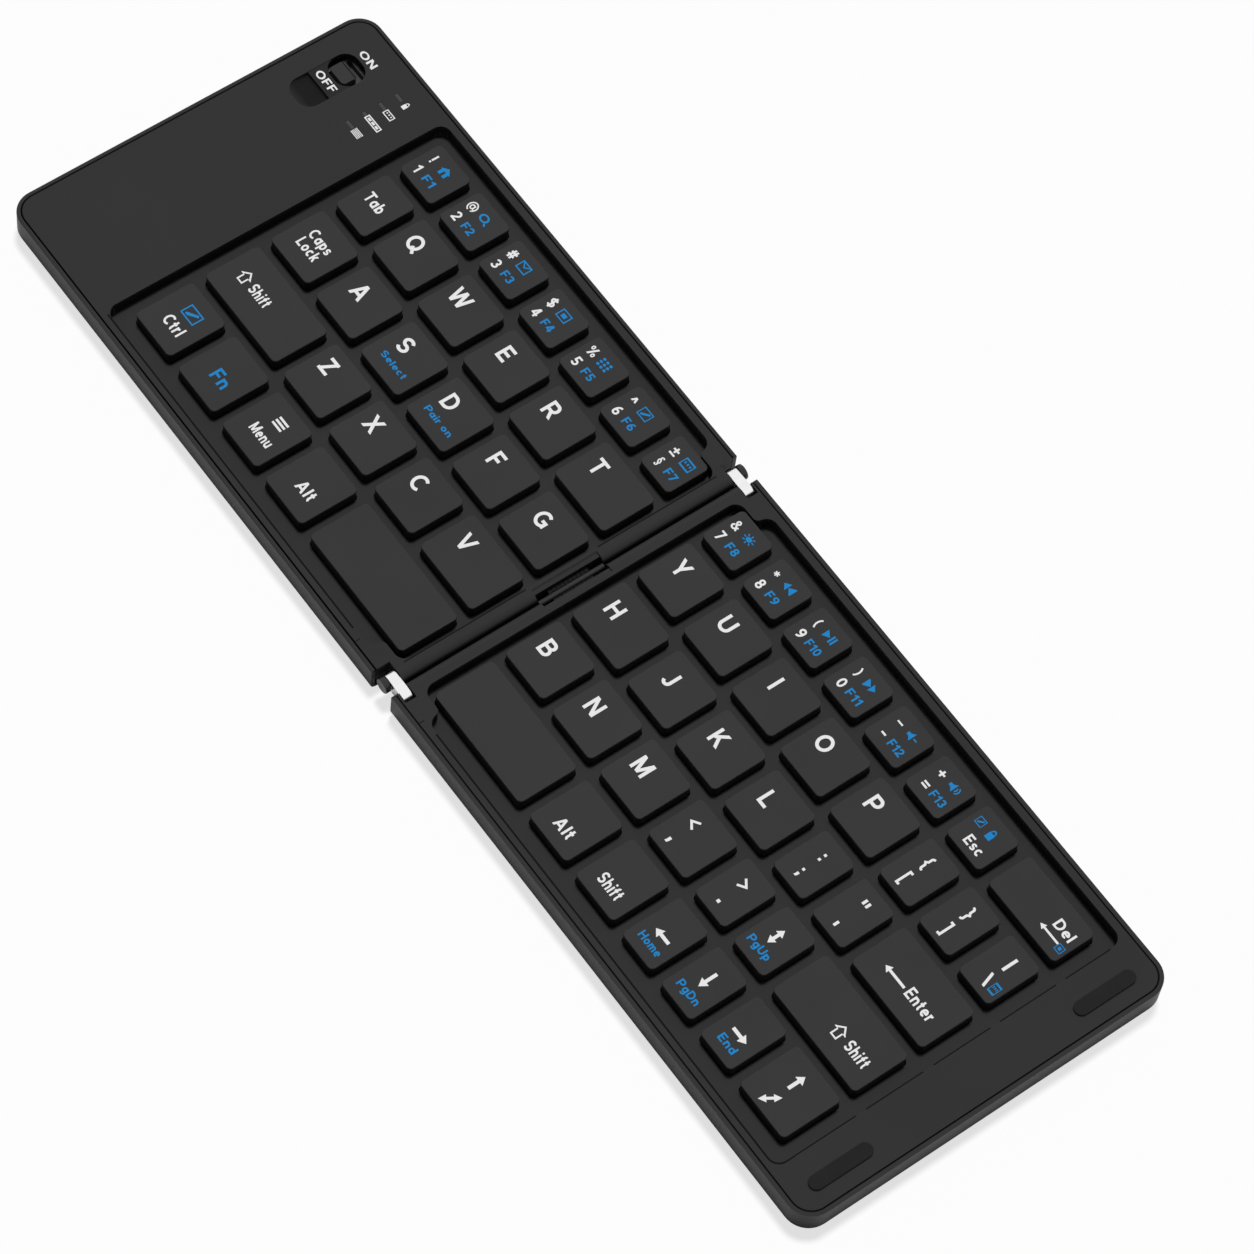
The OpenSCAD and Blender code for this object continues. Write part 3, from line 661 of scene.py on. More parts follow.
# painted shade darkens the keycap skirts below the rim
KEYCAP = MouldedPlastic(
    "keycap_plastic",
    (0.0345, 0.0345, 0.0348),
    roughness=0.48,
    grain_mm=0.14,
    grain_depth_mm=0.004,
    specular=0.1,
    painted_shade_mm=(3.0, 7.3),
    painted_shade_tone=0.3,
)
DARK_TRIM = MouldedPlastic(
    "dark_trim_plastic",
    (0.006, 0.006, 0.0065),
    roughness=0.36,
    grain_mm=0.12,
    grain_depth_mm=0.003,
    specular=0.45,
)
SWITCH_BODY = MouldedPlastic(
    "switch_body_plastic",
    (0.05, 0.05, 0.053),
    roughness=0.45,
    grain_mm=0.12,
    grain_depth_mm=0.004,
)
SLEEVE = MouldedPlastic(
    "cable_sleeve_rubber",
    (0.02, 0.02, 0.0205),
    roughness=0.5,
    grain_mm=0.1,
    grain_depth_mm=0.006,
)
PAD_RUBBER = MouldedRubber("pad_rubber", (0.0045, 0.0045, 0.0045))
LINK_METAL = BrightMetal("link_metal", (0.92, 0.92, 0.925), roughness=0.27)
SCREW_STEEL = BrightMetal("screw_steel", (0.42, 0.43, 0.45), roughness=0.3, lines=(0.2, 0.2, 2.0))
PLATE_STEEL = BrightMetal("plate_steel", (0.6, 0.6, 0.62), roughness=0.34, lines=(8.0, 0.3, 0.3))
TINNED_STEEL = BrightMetal("tinned_steel", (0.7, 0.71, 0.73), roughness=0.28, lines=(0.3, 2.0, 0.3))
WHITE_INK = ink_finish("white_ink", (0.84, 0.84, 0.84))
BLUE_INK = ink_finish("blue_ink", (0.014, 0.225, 0.55))
BOARD = CircuitBoard("circuit_board")
FILM = TracedFilm(
    "contact_film",
    film=(0.55, 0.5, 0.34),
    trace=(0.42, 0.43, 0.45),
    sets=(("Y", 3.2, 0.3, 0.0), ("X", 6.4, 0.3, 0.0)),
    haze_mm=9.0,
    roughness=0.25,
)
CABLE_FILM = TracedFilm(
    "cable_film",
    film=(0.006, 0.006, 0.006),
    trace=(0.012, 0.0115, 0.011),
    sets=(("Y", 1.0, 0.26, 0.5),),
    haze_mm=2.0,
    roughness=0.45,
    specular=0.1,
)
DOME_SILICONE = CloudedSurface(
    "dome_silicone",
    low=(0.045, 0.045, 0.047),
    high=(0.07, 0.07, 0.072),
    grain_mm=4.0,
    detail=3.0,
    gloss=(0.25, 0.4),
    depth_mm=0.02,
    specular=0.25,
)
BATTERY_FOIL = CloudedSurface(
    "battery_foil",
    low=(0.42, 0.43, 0.45),
    high=(0.66, 0.67, 0.69),
    grain_mm=4.5,
    detail=4.0,
    gloss=(0.3, 0.22),
    depth_mm=0.15,
    metallic=0.85,
    stretch=(1.0, 0.6, 1.0),
)
WINDOW = light_window("light_window", (0.02, 0.0205, 0.021))
LAMP_CHIP = light_window("lamp_chip", (0.6, 0.62, 0.55))


# ------------------------------------------------------------------ mesh tools


def add_object(name: str, data: bpy.types.ID) -> Object:
    """Puts an object into the scene, at the origin.

    Args:
        name: The object's name.
        data: Its mesh, curve, light or camera.

    Returns:
        The object.
    """
    made = bpy.data.objects.new(name, data)
    bpy.context.scene.collection.objects.link(made)
    return made


def mesh_of(bm: BMesh, name: str) -> Mesh:
    """Turns a bmesh into a mesh and frees it.

    Args:
        bm: The bmesh.
        name: The mesh's name.

    Returns:
        The mesh.
    """
    mesh = bpy.data.meshes.new(name)
    bm.to_mesh(mesh)
    bm.free()
    return mesh


def baked(source: Object) -> Mesh:
    """Returns an object's evaluated mesh as a plain mesh."""
    graph = bpy.context.evaluated_depsgraph_get()
    return bpy.data.meshes.new_from_object(source.evaluated_get(graph), depsgraph=graph)


def shade_smooth(mesh: Mesh, sharp_degrees: float = 40.0) -> None:
    """Smooths a mesh's shading, except across sharp edges."""
    mesh.polygons.foreach_set("use_smooth", [True] * len(mesh.polygons))
    mesh.set_sharp_from_angle(angle=math.radians(sharp_degrees))


def plane_of(face: bpy.types.MeshPolygon) -> tuple[int, ...]:
    """Names the plane of a face by its rounded direction and distance."""
    distance = round(face.normal.dot(face.center) * DISTANCE_STEPS)
    return (*[round(part * DIRECTION_STEPS) for part in face.normal], distance)


def even_normals(piece: Object, flat_area: float = 4e-6) -> None:
    """Smooths a piece's shading and keeps its large faces flat.

    Args:
        piece: The piece.
        flat_area: The area from which faces that lie in one plane stay flat.
    """
    shade_smooth(piece.data, SMOOTH_DEGREES)
    piece.modifiers.new("normals", "WEIGHTED_NORMAL").keep_sharp = True
    mesh = baked(piece)
    piece.modifiers.clear()
    piece.data = mesh
    areas: dict[tuple[int, ...], float] = {}
    for face in mesh.polygons:
        areas[plane_of(face)] = areas.get(plane_of(face), 0.0) + face.area
    flat_round: dict[int, list[Vector]] = {}
    for face in mesh.polygons:
        if areas[plane_of(face)] > flat_area:
            for corner in face.vertices:
                flat_round.setdefault(corner, []).append(face.normal.copy())
    limit = math.cos(math.radians(SMOOTH_DEGREES))
    normals = [corner.vector.copy() for corner in mesh.corner_normals]
    for face in mesh.polygons:
        for loop, corner in zip(face.loop_indices, face.vertices):
            near = max(flat_round.get(corner, []), key=face.normal.dot, default=None)
            if near is not None and near.dot(face.normal) > limit:
                normals[loop] = near
    mesh.normals_split_custom_set(normals)


def register(
    piece: Object, finish: Finish, body: str, slot: str, replaced: Iterable[str] = ()
) -> None:
    """Dresses a finished piece and ties it to its body.

    Args:
        piece: The piece, in place.
        finish: Its finish.
        body: The body that it moves with.
        slot: The record's material slot; not used.
        replaced: The nodes that it stands for.
    """
    piece.data.materials.clear()
    piece.data.materials.append(finish.material())
    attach(piece, body)
    if replaced:
        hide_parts(*replaced)
    log.info("%s: %d faces on %s", piece.name, len(piece.data.polygons), body)


def merged_copy(node: str) -> BMesh:
    """Copies a node's mesh and merges its doubles.

    Args:
        node: The node's name.

    Returns:
        The copy.
    """
    bm = bmesh.new()
    bm.from_mesh(frame["nodes"][node].data)
    bmesh.ops.remove_doubles(bm, verts=bm.verts, dist=MERGE_REACH)
    return bm


def solid_boxes(node: str) -> list[tuple[Vector, Vector]]:
    """Finds the box of each solid in a node.

    Args:
        node: The node's name.

    Returns:
        The lowest and highest corner of each solid, from left to right.
    """
    bm = merged_copy(node)
    boxes = []
    waiting = set(bm.verts)
    while waiting:
        island = [waiting.pop()]
        for vert in island:
            for edge in vert.link_edges:
                other = edge.other_vert(vert)
                if other in waiting:
                    waiting.remove(other)
                    island.append(other)
        places = np.array([vert.co for vert in island])
        boxes.append((Vector(places.min(axis=0)), Vector(places.max(axis=0))))
    bm.free()
    return sorted(boxes, key=lambda box: box[0].x)


def triangulate_ngons(bm: BMesh) -> None:
    """Splits the faces that have more than four corners."""
    bmesh.ops.triangulate(bm, faces=[face for face in bm.faces if len(face.verts) > 4])


def prism(bm: BMesh, points: Outline, low: float, high: float) -> None:
    """Adds a closed prism over a flat outline.

    Args:
        bm: The mesh that it is added to.
        points: The outline, anticlockwise.
        low: The height of its lower face.
        high: The height of its upper face.
    """
    below, above = ([bm.verts.new((x, y, z)) for x, y in points] for z in (low, high))
    bm.faces.new(below[::-1])
    bm.faces.new(above)
    join_rings(bm, below, above)


def join_rings(bm: BMesh, first: Sequence, second: Sequence) -> None:
    """Joins two rings of corners with a strip of faces.

    Args:
        bm: The mesh that it is added to.
        first: The corners of the first ring.
        second: The corners of the second ring, in the same order.
    """
    for i in range(len(first)):
        j = (i + 1) % len(first)
        bm.faces.new((first[i], first[j], second[j], second[i]))


# -------------------------------------------------------------- geometry nodes


class Recipe(Tree):
    """A Geometry Nodes tree with named inputs."""

    prefix = "GeometryNode"

    def __init__(self, name: str, numbers: Sequence[str]) -> None:
        """Makes the tree and its inputs.

        Args:
            name: The tree's name.
            numbers: The names of its number inputs.
        """
        super().__init__(bpy.data.node_groups.new(name, "GeometryNodeTree"))
        face = self.tree.interface
        face.new_socket("Geometry", in_out="OUTPUT", socket_type="NodeSocketGeometry")
        kinds = {"Geometry": "Geometry", **dict.fromkeys(numbers, "Float"), "Finish": "Material"}
        self.identifiers = {
            label: face.new_socket(
                label, in_out="INPUT", socket_type="NodeSocket" + kind
            ).identifier
            for label, kind in kinds.items()
        }
        outputs = self.node("NodeGroupInput").outputs
        self.given = {label: Value(self, outputs[label]) for label in kinds}

    def vector(self, operation: str, *operands: Operand, **named: Operand) -> Socket:
        """Adds a Vector Math node and returns its vector."""
        sockets = {**dict(enumerate(operands)), **named}
        return self.out("ShaderNodeVectorMath", {"operation": operation}, sockets)

    def xyz(self, **parts: Operand) -> Socket:
        """Makes a vector from its X, Y and Z."""
        return self.out("ShaderNodeCombineXYZ", {}, parts)

    def attribute(self, name: str) -> Socket:
        """Reads a vector that is stored on points."""
        settings = {"data_type": "FLOAT_VECTOR"}
        return self.out("InputNamedAttribute", settings, {"Name": name}, "Attribute")

    def joined(self, *parts: Socket) -> Socket:
        """Joins geometries.

        Args:
            parts: The geometries.

        Returns:
            All of them as one.
        """
        made = self.node("JoinGeometry")
        for part in parts:
            self.wire(made.inputs[0], part)
        return made.outputs[0]

    def raised(self, geometry: Operand, height: Operand) -> Socket:
        """Lifts a geometry by a height."""
        sockets = {"Geometry": geometry, "Translation": self.xyz(Z=height)}
        return self.out("Transform", {}, sockets)

    def copied(self, points: Operand, shape: Operand) -> Socket:
        """Puts a copy of a shape on each point."""
        return self.out("InstanceOnPoints", {}, {"Points": points, "Instance": shape})

    def close(self, geometry: Socket) -> None:
        """Ends the tree: real meshes, with the finish on them.

        Args:
            geometry: What the tree has built.
        """
        real = self.out("RealizeInstances", {}, {"Geometry": geometry})
        sockets = {"Geometry": real, "Material": self.given["Finish"]}
        dressed = self.out("SetMaterial", {}, sockets)
        self.node("NodeGroupOutput", {}, {"Geometry": dressed})

    def cook(self, name: str, source: Mesh, finish: Finish, **values: float) -> Object:
        """Runs the tree on a mesh and keeps the result as a plain object.

        Args:
            name: The new object's name.
            source: The mesh that the tree starts from.
            finish: The finish that it sets.
            values: The inputs' values, with _ for a blank in their names.

        Returns:
            The object, with no modifier left on it.
        """
        carrier = add_object(name, source)
        modifier = carrier.modifiers.new("recipe", "NODES")
        modifier.node_group = self.tree
        modifier[self.identifiers["Finish"]] = finish.material()
        for key, value in values.items():
            modifier[self.identifiers[key.replace("_", " ")]] = value
        mesh = baked(carrier)
        carrier.modifiers.clear()
        carrier.data = mesh
        return carrier


def keycap_recipe(
    corner_steps: int = 5, rim_steps: int = 4, seam: float = 0.001 * MM, sunk: float = 0.02 * MM
) -> Recipe:
    """Builds hollow keycaps over flat rectangles.

    Each face of the source is one key's outline, and its "corner" attribute points outwards at
    each corner. The wall is one strip of faces that goes down inside the skirt, round its lower
    edge, up outside and over the rounded rim.

    Args:
        corner_steps: The number of points added in each corner of the outline.
        rim_steps: The number of strips in the rounded rim.
        seam: How near points are that become one where the wall meets the ceiling.
        sunk: How far the stem reaches into the roof.

    Returns:
        The recipe.
    """
    names = ("Corner Radius", "Rounding", "Skirt", "Cap Height", "Roof Height", "Stem", "Base")
    recipe = Recipe("keycap", names)
    source = recipe.given["Geometry"]
    radius, rounding, skirt, tall, roof, stem, base = (recipe.given[name] for name in names)
    out, vector = recipe.out, recipe.vector
    path = out("MeshToCurve", {}, {"Mesh": source})
    sockets = {"Curve": path, "Count": corner_steps, "Radius": radius}
    path = out("FilletCurve", {"mode": "POLY"}, sockets)
    plan = out("FillCurve", {"mode": "NGONS"}, {"Curve": path})

    place = out("InputPosition")
    nearest = out("SampleNearest", {"domain": "POINT"}, {"Geometry": source})
    on_points = {"data_type": "FLOAT_VECTOR", "domain": "POINT"}

    def from_corner(value: Operand) -> Socket:
        """Reads a value at the outline's nearest corner."""
        sockets = {"Geometry": source, "Value": value, "Index": nearest}
        return out("SampleIndex", on_points, sockets)

    reach = vector("SCALE", from_corner(recipe.attribute("corner")), Scale=radius)
    centre = vector("SUBTRACT", from_corner(place), reach)
    outwards = vector("NORMALIZE", vector("SUBTRACT", place, centre))
    for name, value in (("outline", place), ("outwards", outwards)):
        sockets = {"Geometry": plan, "Name": name, "Value": value}
        plan = out("StoreNamedAttribute", on_points, sockets)

    def ring(inset: Operand, height: Operand) -> Socket:
        """Gives each point's place on a ring of the wall.

        Args:
            inset: How far inside the outline the ring is.
            height: Its height over the lower edge.

        Returns:
            The place.
        """
        back = vector("SCALE", recipe.attribute("outwards"), Scale=inset * -1.0)
        shift = vector("ADD", recipe.xyz(Z=height), back)
        return vector("ADD", recipe.attribute("outline"), shift)

    shoulder = tall - rounding
    rings = [(skirt, roof), (skirt, 0.0), (0.0, 0.0), (0.0, shoulder)]
    for step in range(1, rim_steps + 1):
        turn = math.pi / 2 * step / rim_steps
        rings.append((rounding * (1 - math.cos(turn)), shoulder + rounding * math.sin(turn)))

    cap = out("SetPosition", {}, {"Geometry": plan, "Position": ring(*rings[0])})
    ceiling = out("FlipFaces", {}, {"Mesh": cap})
    chosen: Operand = True
    for inset, height in rings[1:]:
        sockets = {"Mesh": cap, "Selection": chosen, "Offset Scale": 0.0, "Individual": False}
        pushed = recipe.node("ExtrudeMesh", {"mode": "FACES"}, sockets).outputs
        chosen = pushed["Top"]
        moved = {"Selection": chosen, "Position": ring(inset, height)}
        cap = out("SetPosition", {}, {"Geometry": pushed["Mesh"], **moved})
    sockets = {"Geometry": recipe.joined(cap, ceiling), "Distance": seam}
    shell = out("MergeByDistance", {}, sockets)

    post_height = roof + sunk
    post = out("MeshCube", {}, {"Size": recipe.xyz(X=stem, Y=stem, Z=post_height)})
    middles = out("MeshToPoints", {"mode": "FACES"}, {"Mesh": source})
    posts = recipe.copied(middles, recipe.raised(post, post_height * 0.5))
    recipe.close(recipe.raised(recipe.joined(shell, posts), base))
    return recipe


def screw_recipe(sides: int = 28) -> Recipe:
    """Builds case screws over points, each with a cross recess in its head.

    Args:
        sides: The number of sides of the head and the shank.

    Returns:
        The recipe.
    """
    names = ("Head Radius", "Head Height", "Shank Radius", "Length", "Cross Length", "Cross Width")
    recipe = Recipe("case_screw", names)
    head_radius, head_height, shank_radius, length, *cross_sizes = (
        recipe.given[name] for name in names
    )

    def round_bar(radius: Value, height: Value, low: Operand) -> Socket:
        """Makes an upright cylinder from a given height up."""
        sockets = {"Vertices": sides, "Radius": radius, "Depth": height}
        return recipe.raised(recipe.out("MeshCylinder", {}, sockets), height * 0.5 + low)

    head = round_bar(head_radius, head_height, 0.0)
    settings = {"operation": "DIFFERENCE", "solver": "EXACT"}
    cross = recipe.node("MeshBoolean", settings, {"Mesh 1": head})
    for long, short in (cross_sizes, cross_sizes[::-1]):
        size = recipe.xyz(X=long, Y=short, Z=head_height)
        recipe.wire(cross.inputs["Mesh 2"], recipe.out("MeshCube", {}, {"Size": size}))
    shank = round_bar(shank_radius, length - head_height, head_height)
    screw = recipe.joined(cross.outputs[0], shank)
    recipe.close(recipe.copied(recipe.given["Geometry"], screw))
    return recipe


# ------------------------------------------------------------- letters and icons


STROKE = 0.18
SAME_PLACE = 0.001


def box(left: float, low: float, right: float, high: float) -> list[Outline]:
    """Draws a rectangle between two corners."""
    return [[(left, low), (right, low), (right, high), (left, high)]]


def bar(x: float, y: float, width: float, height: float) -> list[Outline]:
    """Draws a bar round a middle point."""
    return box(x - width / 2, y - height / 2, x + width / 2, y + height / 2)


def open_frame(thick_x: float, thick_y: float) -> list[Outline]:
    """Draws an open rectangle as four bars in a unit square."""
    rows = box(-0.5, -0.5, 0.5, -0.5 + thick_y) + box(-0.5, 0.5 - thick_y, 0.5, 0.5)
    return rows + box(-0.5, -0.5, -0.5 + thick_x, 0.5) + box(0.5 - thick_x, -0.5, 0.5, 0.5)


def disc(x: float, y: float, radius: float, sides: float = 20) -> list[Outline]:
    """Draws a disc."""
    turns = [2 * math.pi * i / sides for i in range(int(sides))]
    return [[(x + radius * math.cos(a), y + radius * math.sin(a)) for a in turns]]


def arc(
    x: float, y: float, wide: float, tall: float, start: float, end: float, steps: int = 0
) -> list[Point]:
    """Lists points along an oval arc.

    Args:
        x: The middle across.
        y: The middle up.
        wide: The radius across.
        tall: The radius up.
        start: The first angle, in degrees.
        end: The last angle, in degrees.
        steps: The number of steps, or 0 for one in about 15 degrees.

    Returns:
        The points, the ends among them.
    """
    steps = steps or max(3, round(abs(end - start) / 15))
    angles = [math.radians(start + (end - start) * i / steps) for i in range(steps + 1)]
    return [(x + wide * math.cos(a), y + tall * math.sin(a)) for a in angles]


def ring(
    x: float, y: float, outer: float, inner: float, start: float = 0.0, sweep: float = 360.0
) -> list[Outline]:
    """Draws a ring, or a part of one, as a row of four-sided pieces.

    Args:
        x: The middle across.
        y: The middle up.
        outer: The outer radius.
        inner: The inner radius.
        start: The first angle, in degrees.
        sweep: How many degrees it goes round.

    Returns:
        The pieces.
    """
    steps = max(4, round(sweep / 20))
    far, near = (arc(x, y, r, r, start, start + sweep, steps) for r in (outer, inner))
    return [[near[i], far[i], far[i + 1], near[i + 1]] for i in range(steps)]


def ribbon(points: Sequence[Point], thick: float = STROKE) -> Outline:
    """Draws a stroke of even width.

    Args:
        points: The stroke's middle line.
        thick: Its width.

    Returns:
        The stroke's outline.
    """
    places = [Vector(points[0])]
    for point in points[1:]:
        if (Vector(point) - places[-1]).length > SAME_PLACE:
            places.append(Vector(point))
    along = [(b - a).normalized() for a, b in zip(places, places[1:])]
    left, right = [], []
    for i, place in enumerate(places):
        before, after = along[max(i - 1, 0)], along[min(i, len(along) - 1)]
        reach = Vector((-(before.y + after.y), before.x + after.x)) / (1 + before.dot(after))
        left.append(tuple(place + reach * thick / 2))
        right.append(tuple(place - reach * thick / 2))
    return left + right[::-1]


def slant(x0: float, y0: float, x1: float, y1: float) -> list[Outline]:
    """Draws a sloping stroke with level ends."""
    half = STROKE / 2 * math.hypot(x1 - x0, y1 - y0) / abs(y1 - y0)
    return [[(x0 - half, y0), (x0 + half, y0), (x1 + half, y1), (x1 - half, y1)]]


def upright(x: float, low: float = 0.0, high: float = 1.0) -> list[Outline]:
    """Draws an upright stroke."""
    return bar(x, (low + high) / 2, STROKE, high - low)


def level(y: float, left: float, right: float) -> list[Outline]:
    """Draws a level stroke."""
    return bar((left + right) / 2, y, right - left, STROKE)


def oval(x: float, y: float, wide: float, tall: float, thick: float = STROKE) -> list[Outline]:
    """Draws a closed oval stroke in two halves."""
    return [ribbon(arc(x, y, wide, tall, a, a + 180), thick) for a in (0, 180)]


def turned(shapes: list[Outline], degrees: float) -> list[Outline]:
    """Turns shapes about the middle of the unit square."""
    cos, sin = math.cos(math.radians(degrees)), math.sin(math.radians(degrees))
    return [[(x * cos - y * sin, x * sin + y * cos) for x, y in shape] for shape in shapes]


def flipped(shapes: list[Outline], width: float, upside: bool = False) -> list[Outline]:
    """Mirrors shapes across, and up and down as well if upside is true."""
    return [[(width - x, 1 - y if upside else y) for x, y in shape] for shape in shapes]


DRAWERS: dict[str, Callable[..., list[Outline]]] = {
    "b": bar,
    "d": disc,
    "l": level,
    "o": oval,
    "r": ring,
    "s": slant,
    "u": upright,
    "w": open_frame,
}


def drawn(notes: str) -> list[Outline]:
    """Draws shapes from short notes.

    A note is a letter of DRAWERS and that function's numbers. An f fills an outline and a p
    draws a stroke along a path, and both give points x,y and arcs x,y,wide,tall,start,end
    between slashes. An @ sets the stroke's width.

    Args:
        notes: The notes, with blanks between them.

    Returns:
        The shapes, in the notes' order.
    """
    shapes = []
    for note in notes.split():
        path, _, thick = note[1:].partition("@")
        parts = [[float(number) for number in part.split(",")] for part in path.split("/")]
        if note[0] in DRAWERS:
            shapes += DRAWERS[note[0]](*parts[0])
            continue
        points = []
        for part in parts:
            points += [tuple(part)] if len(part) == 2 else arc(*part)
        shapes.append(points if note[0] == "f" else ribbon(points, float(thick or STROKE)))
    return shapes


LETTER_NOTES = r"""
A .86 s.1,0,.43,1 s.76,0,.43,1 l.3,.2,.66
B .72 u.09 p.09,.91/.4,.91/.4,.72,.2,.19,90,-90/.09,.53
B .72 p.09,.53/.41,.53/.41,.31,.22,.22,90,-90/.09,.09
C .78 p.44,.5,.35,.41,50,310
D .76 u.09 p.09,.91/.32,.91/.32,.5,.35,.41,90,-90/.09,.09
E .64 u.09 l.91,0,.62 l.51,0,.57 l.09,0,.64
F .6 u.09 l.91,0,.6 l.49,0,.53
G .82 p.44,.5,.35,.41,50,325 l.43,.46,.82 u.73,.08,.43
H .76 u.09 u.67 l.52,0,.7
I .18 u.09
J .56 p.47,1/.47,.3/.28,.29,.19,.2,0,-165
K .76 u.09 s.14,.34,.64,1 s.66,0,.32,.58
L .6 u.09 l.09,0,.6
M .9 u.09 u.81 s.11,1,.45,.06 s.79,1,.45,.06
N .76 u.09 u.67 s.11,1,.65,0
O .88 o.44,.5,.35,.41
P .7 u.09 p.09,.91/.4,.91/.4,.67,.22,.24,90,-90/.09,.43
Q .88 o.44,.5,.35,.41 p.5,.3/.85,-.05
R .76 u.09 p.09,.91/.4,.91/.4,.67,.22,.24,90,-90/.09,.43 s.66,0,.38,.46
S .7 p.35,.7,.25,.21,25,262/.35,.3,.26,.21,82,-155
T .72 u.36 l.91,0,.72
U .76 p.09,1/.09,.36/.38,.36,.29,.27,180,360/.67,1
V .84 s.1,1,.42,0 s.74,1,.42,0
W 1.16 s.1,1,.32,0 s.58,1,.32,0 s.58,1,.84,0 s1.06,1,.84,0
X .8 s.1,0,.7,1 s.7,0,.1,1
Y .8 u.4,0,.46 s.4,.38,.1,1 s.4,.38,.7,1
Z .7 l.91,.02,.68 l.09,0,.7 s.13,.1,.57,.9
0 .64 o.32,.5,.23,.41
1 .42 u.33 p.04,.7/.3,.88
2 .64 p.31,.68,.22,.23,170,-35/.12,.12 l.09,.02,.64
3 .64 p.3,.7,.21,.21,160,-90 p.3,.3,.23,.21,90,-160
4 .68 u.46 l.3,.02,.66 s.11,.3,.42,1
5 .64 l.91,.12,.58 p.17,.96/.13,.46 p.3,.31,.23,.22,130,-155
6 .64 o.32,.31,.22,.22 p.48,.34,.38,.57,85,180
7 .62 l.91,.02,.6 s.2,0,.5,.9
8 .64 o.32,.71,.19,.2 o.32,.29,.22,.2
a .58 o.28,.34,.2,.26 u.49,0,.7
b .6 u.09 o.31,.34,.2,.26
c .54 p.3,.34,.21,.26,50,310
d .6 u.51 o.29,.34,.2,.26
e .58 p.3,.34,.21,.26,0,310 l.36,.1,.56
f .38 p.18,0/.18,.76/.34,.76,.16,.15,180,90 l.62,0,.36
g .6 o.29,.34,.2,.26 p.51,.7/.51,0/.3,-.03,.21,.17,0,-150
h .58 u.09 p.29,.38,.2,.23,170,0/.49,0
i .18 u.09,0,.7 b.09,.92,.18,.16
k .56 u.09 s.14,.22,.45,.7 s.47,0,.26,.42
l .18 u.09
m .86 u.09,0,.7 p.26,.4,.17,.21,172,0/.43,0 p.6,.4,.17,.21,172,0/.77,0
n .58 u.09,0,.7 p.29,.38,.2,.23,170,0/.49,0
o .6 o.3,.34,.21,.26
p .6 u.09,-.27,.7 o.31,.34,.2,.26
r .4 u.09,0,.7 p.3,.4,.2,.21,172,80
s .5 p.25,.47,.16,.13,20,260/.25,.21,.17,.13,80,-160@.16
t .38 p.18,.94/.18,.24/.33,.22,.15,.14,180,265 l.62,0,.36
u .58 p.09,.7/.09,.3/.29,.29,.2,.21,180,360 u.49,0,.7
! .18 u.09,.28 b.09,.09,.18,.18
# .76 s.2,0,.3,1 s.46,0,.56,1 l.32,0,.7 l.68,.06,.76
$ .7 p.35,.7,.25,.21,25,262/.35,.3,.26,.21,82,-155 u.35,-.1,1.1
% .9 s.24,0,.66,1 o.17,.77,.11,.16,.12 o.73,.23,.11,.16,.12
@ .96 p.48,.44,.42,.5,-62,262@.12 o.46,.44,.17,.22,.12 p.64,.7/.64,.36/.76,.38,.12,.14,190,340@.11
& .78 o.32,.76,.15,.16,.15 p.2,.68/.7,.04@.17 p.3,.27,.22,.2,115,325/.68,.44@.16
^ .6 s.1,.4,.3,.9 s.5,.4,.3,.9
* .6 p.3,.8/.3,.2@.14 p.561,.65/.039,.35@.14 p.561,.35/.039,.65@.14
( .34 p.52,.5,.43,.62,125,235@.15
_ .7 l.5,0,.7
+ .66 l.5,0,.66 u.33,.17,.83
- .5 l.5,0,.5
= .66 l.66,0,.66 l.34,0,.66
± .66 l.6,0,.66 u.33,.3,.9 l.09,0,.66
{ .36 p.36,1/.26,.98/.2,.9/.2,.62/.08,.5/.2,.38/.2,.1/.26,.02/.36,0@.14
[ .3 p.3,1/.09,1/.09,0/.3,0@.15
| .18 u.09
\ .5 s.1,1,.4,0
: .2 b.1,.8,.2,.2 b.1,.3,.2,.2
; .2 b.1,.8,.2,.2 b.1,.3,.2,.2 s.06,.05,.11,.22
" .5 u.1,.45,.85 u.4,.45,.85
' .2 u.1,.3,.7
< .6 p.55,.84/.08,.5/.55,.16@.15
, .2 b.1,.5,.2,.2 s.06,.2,.11,.42
. .2 b.1,.45,.22,.22
"""
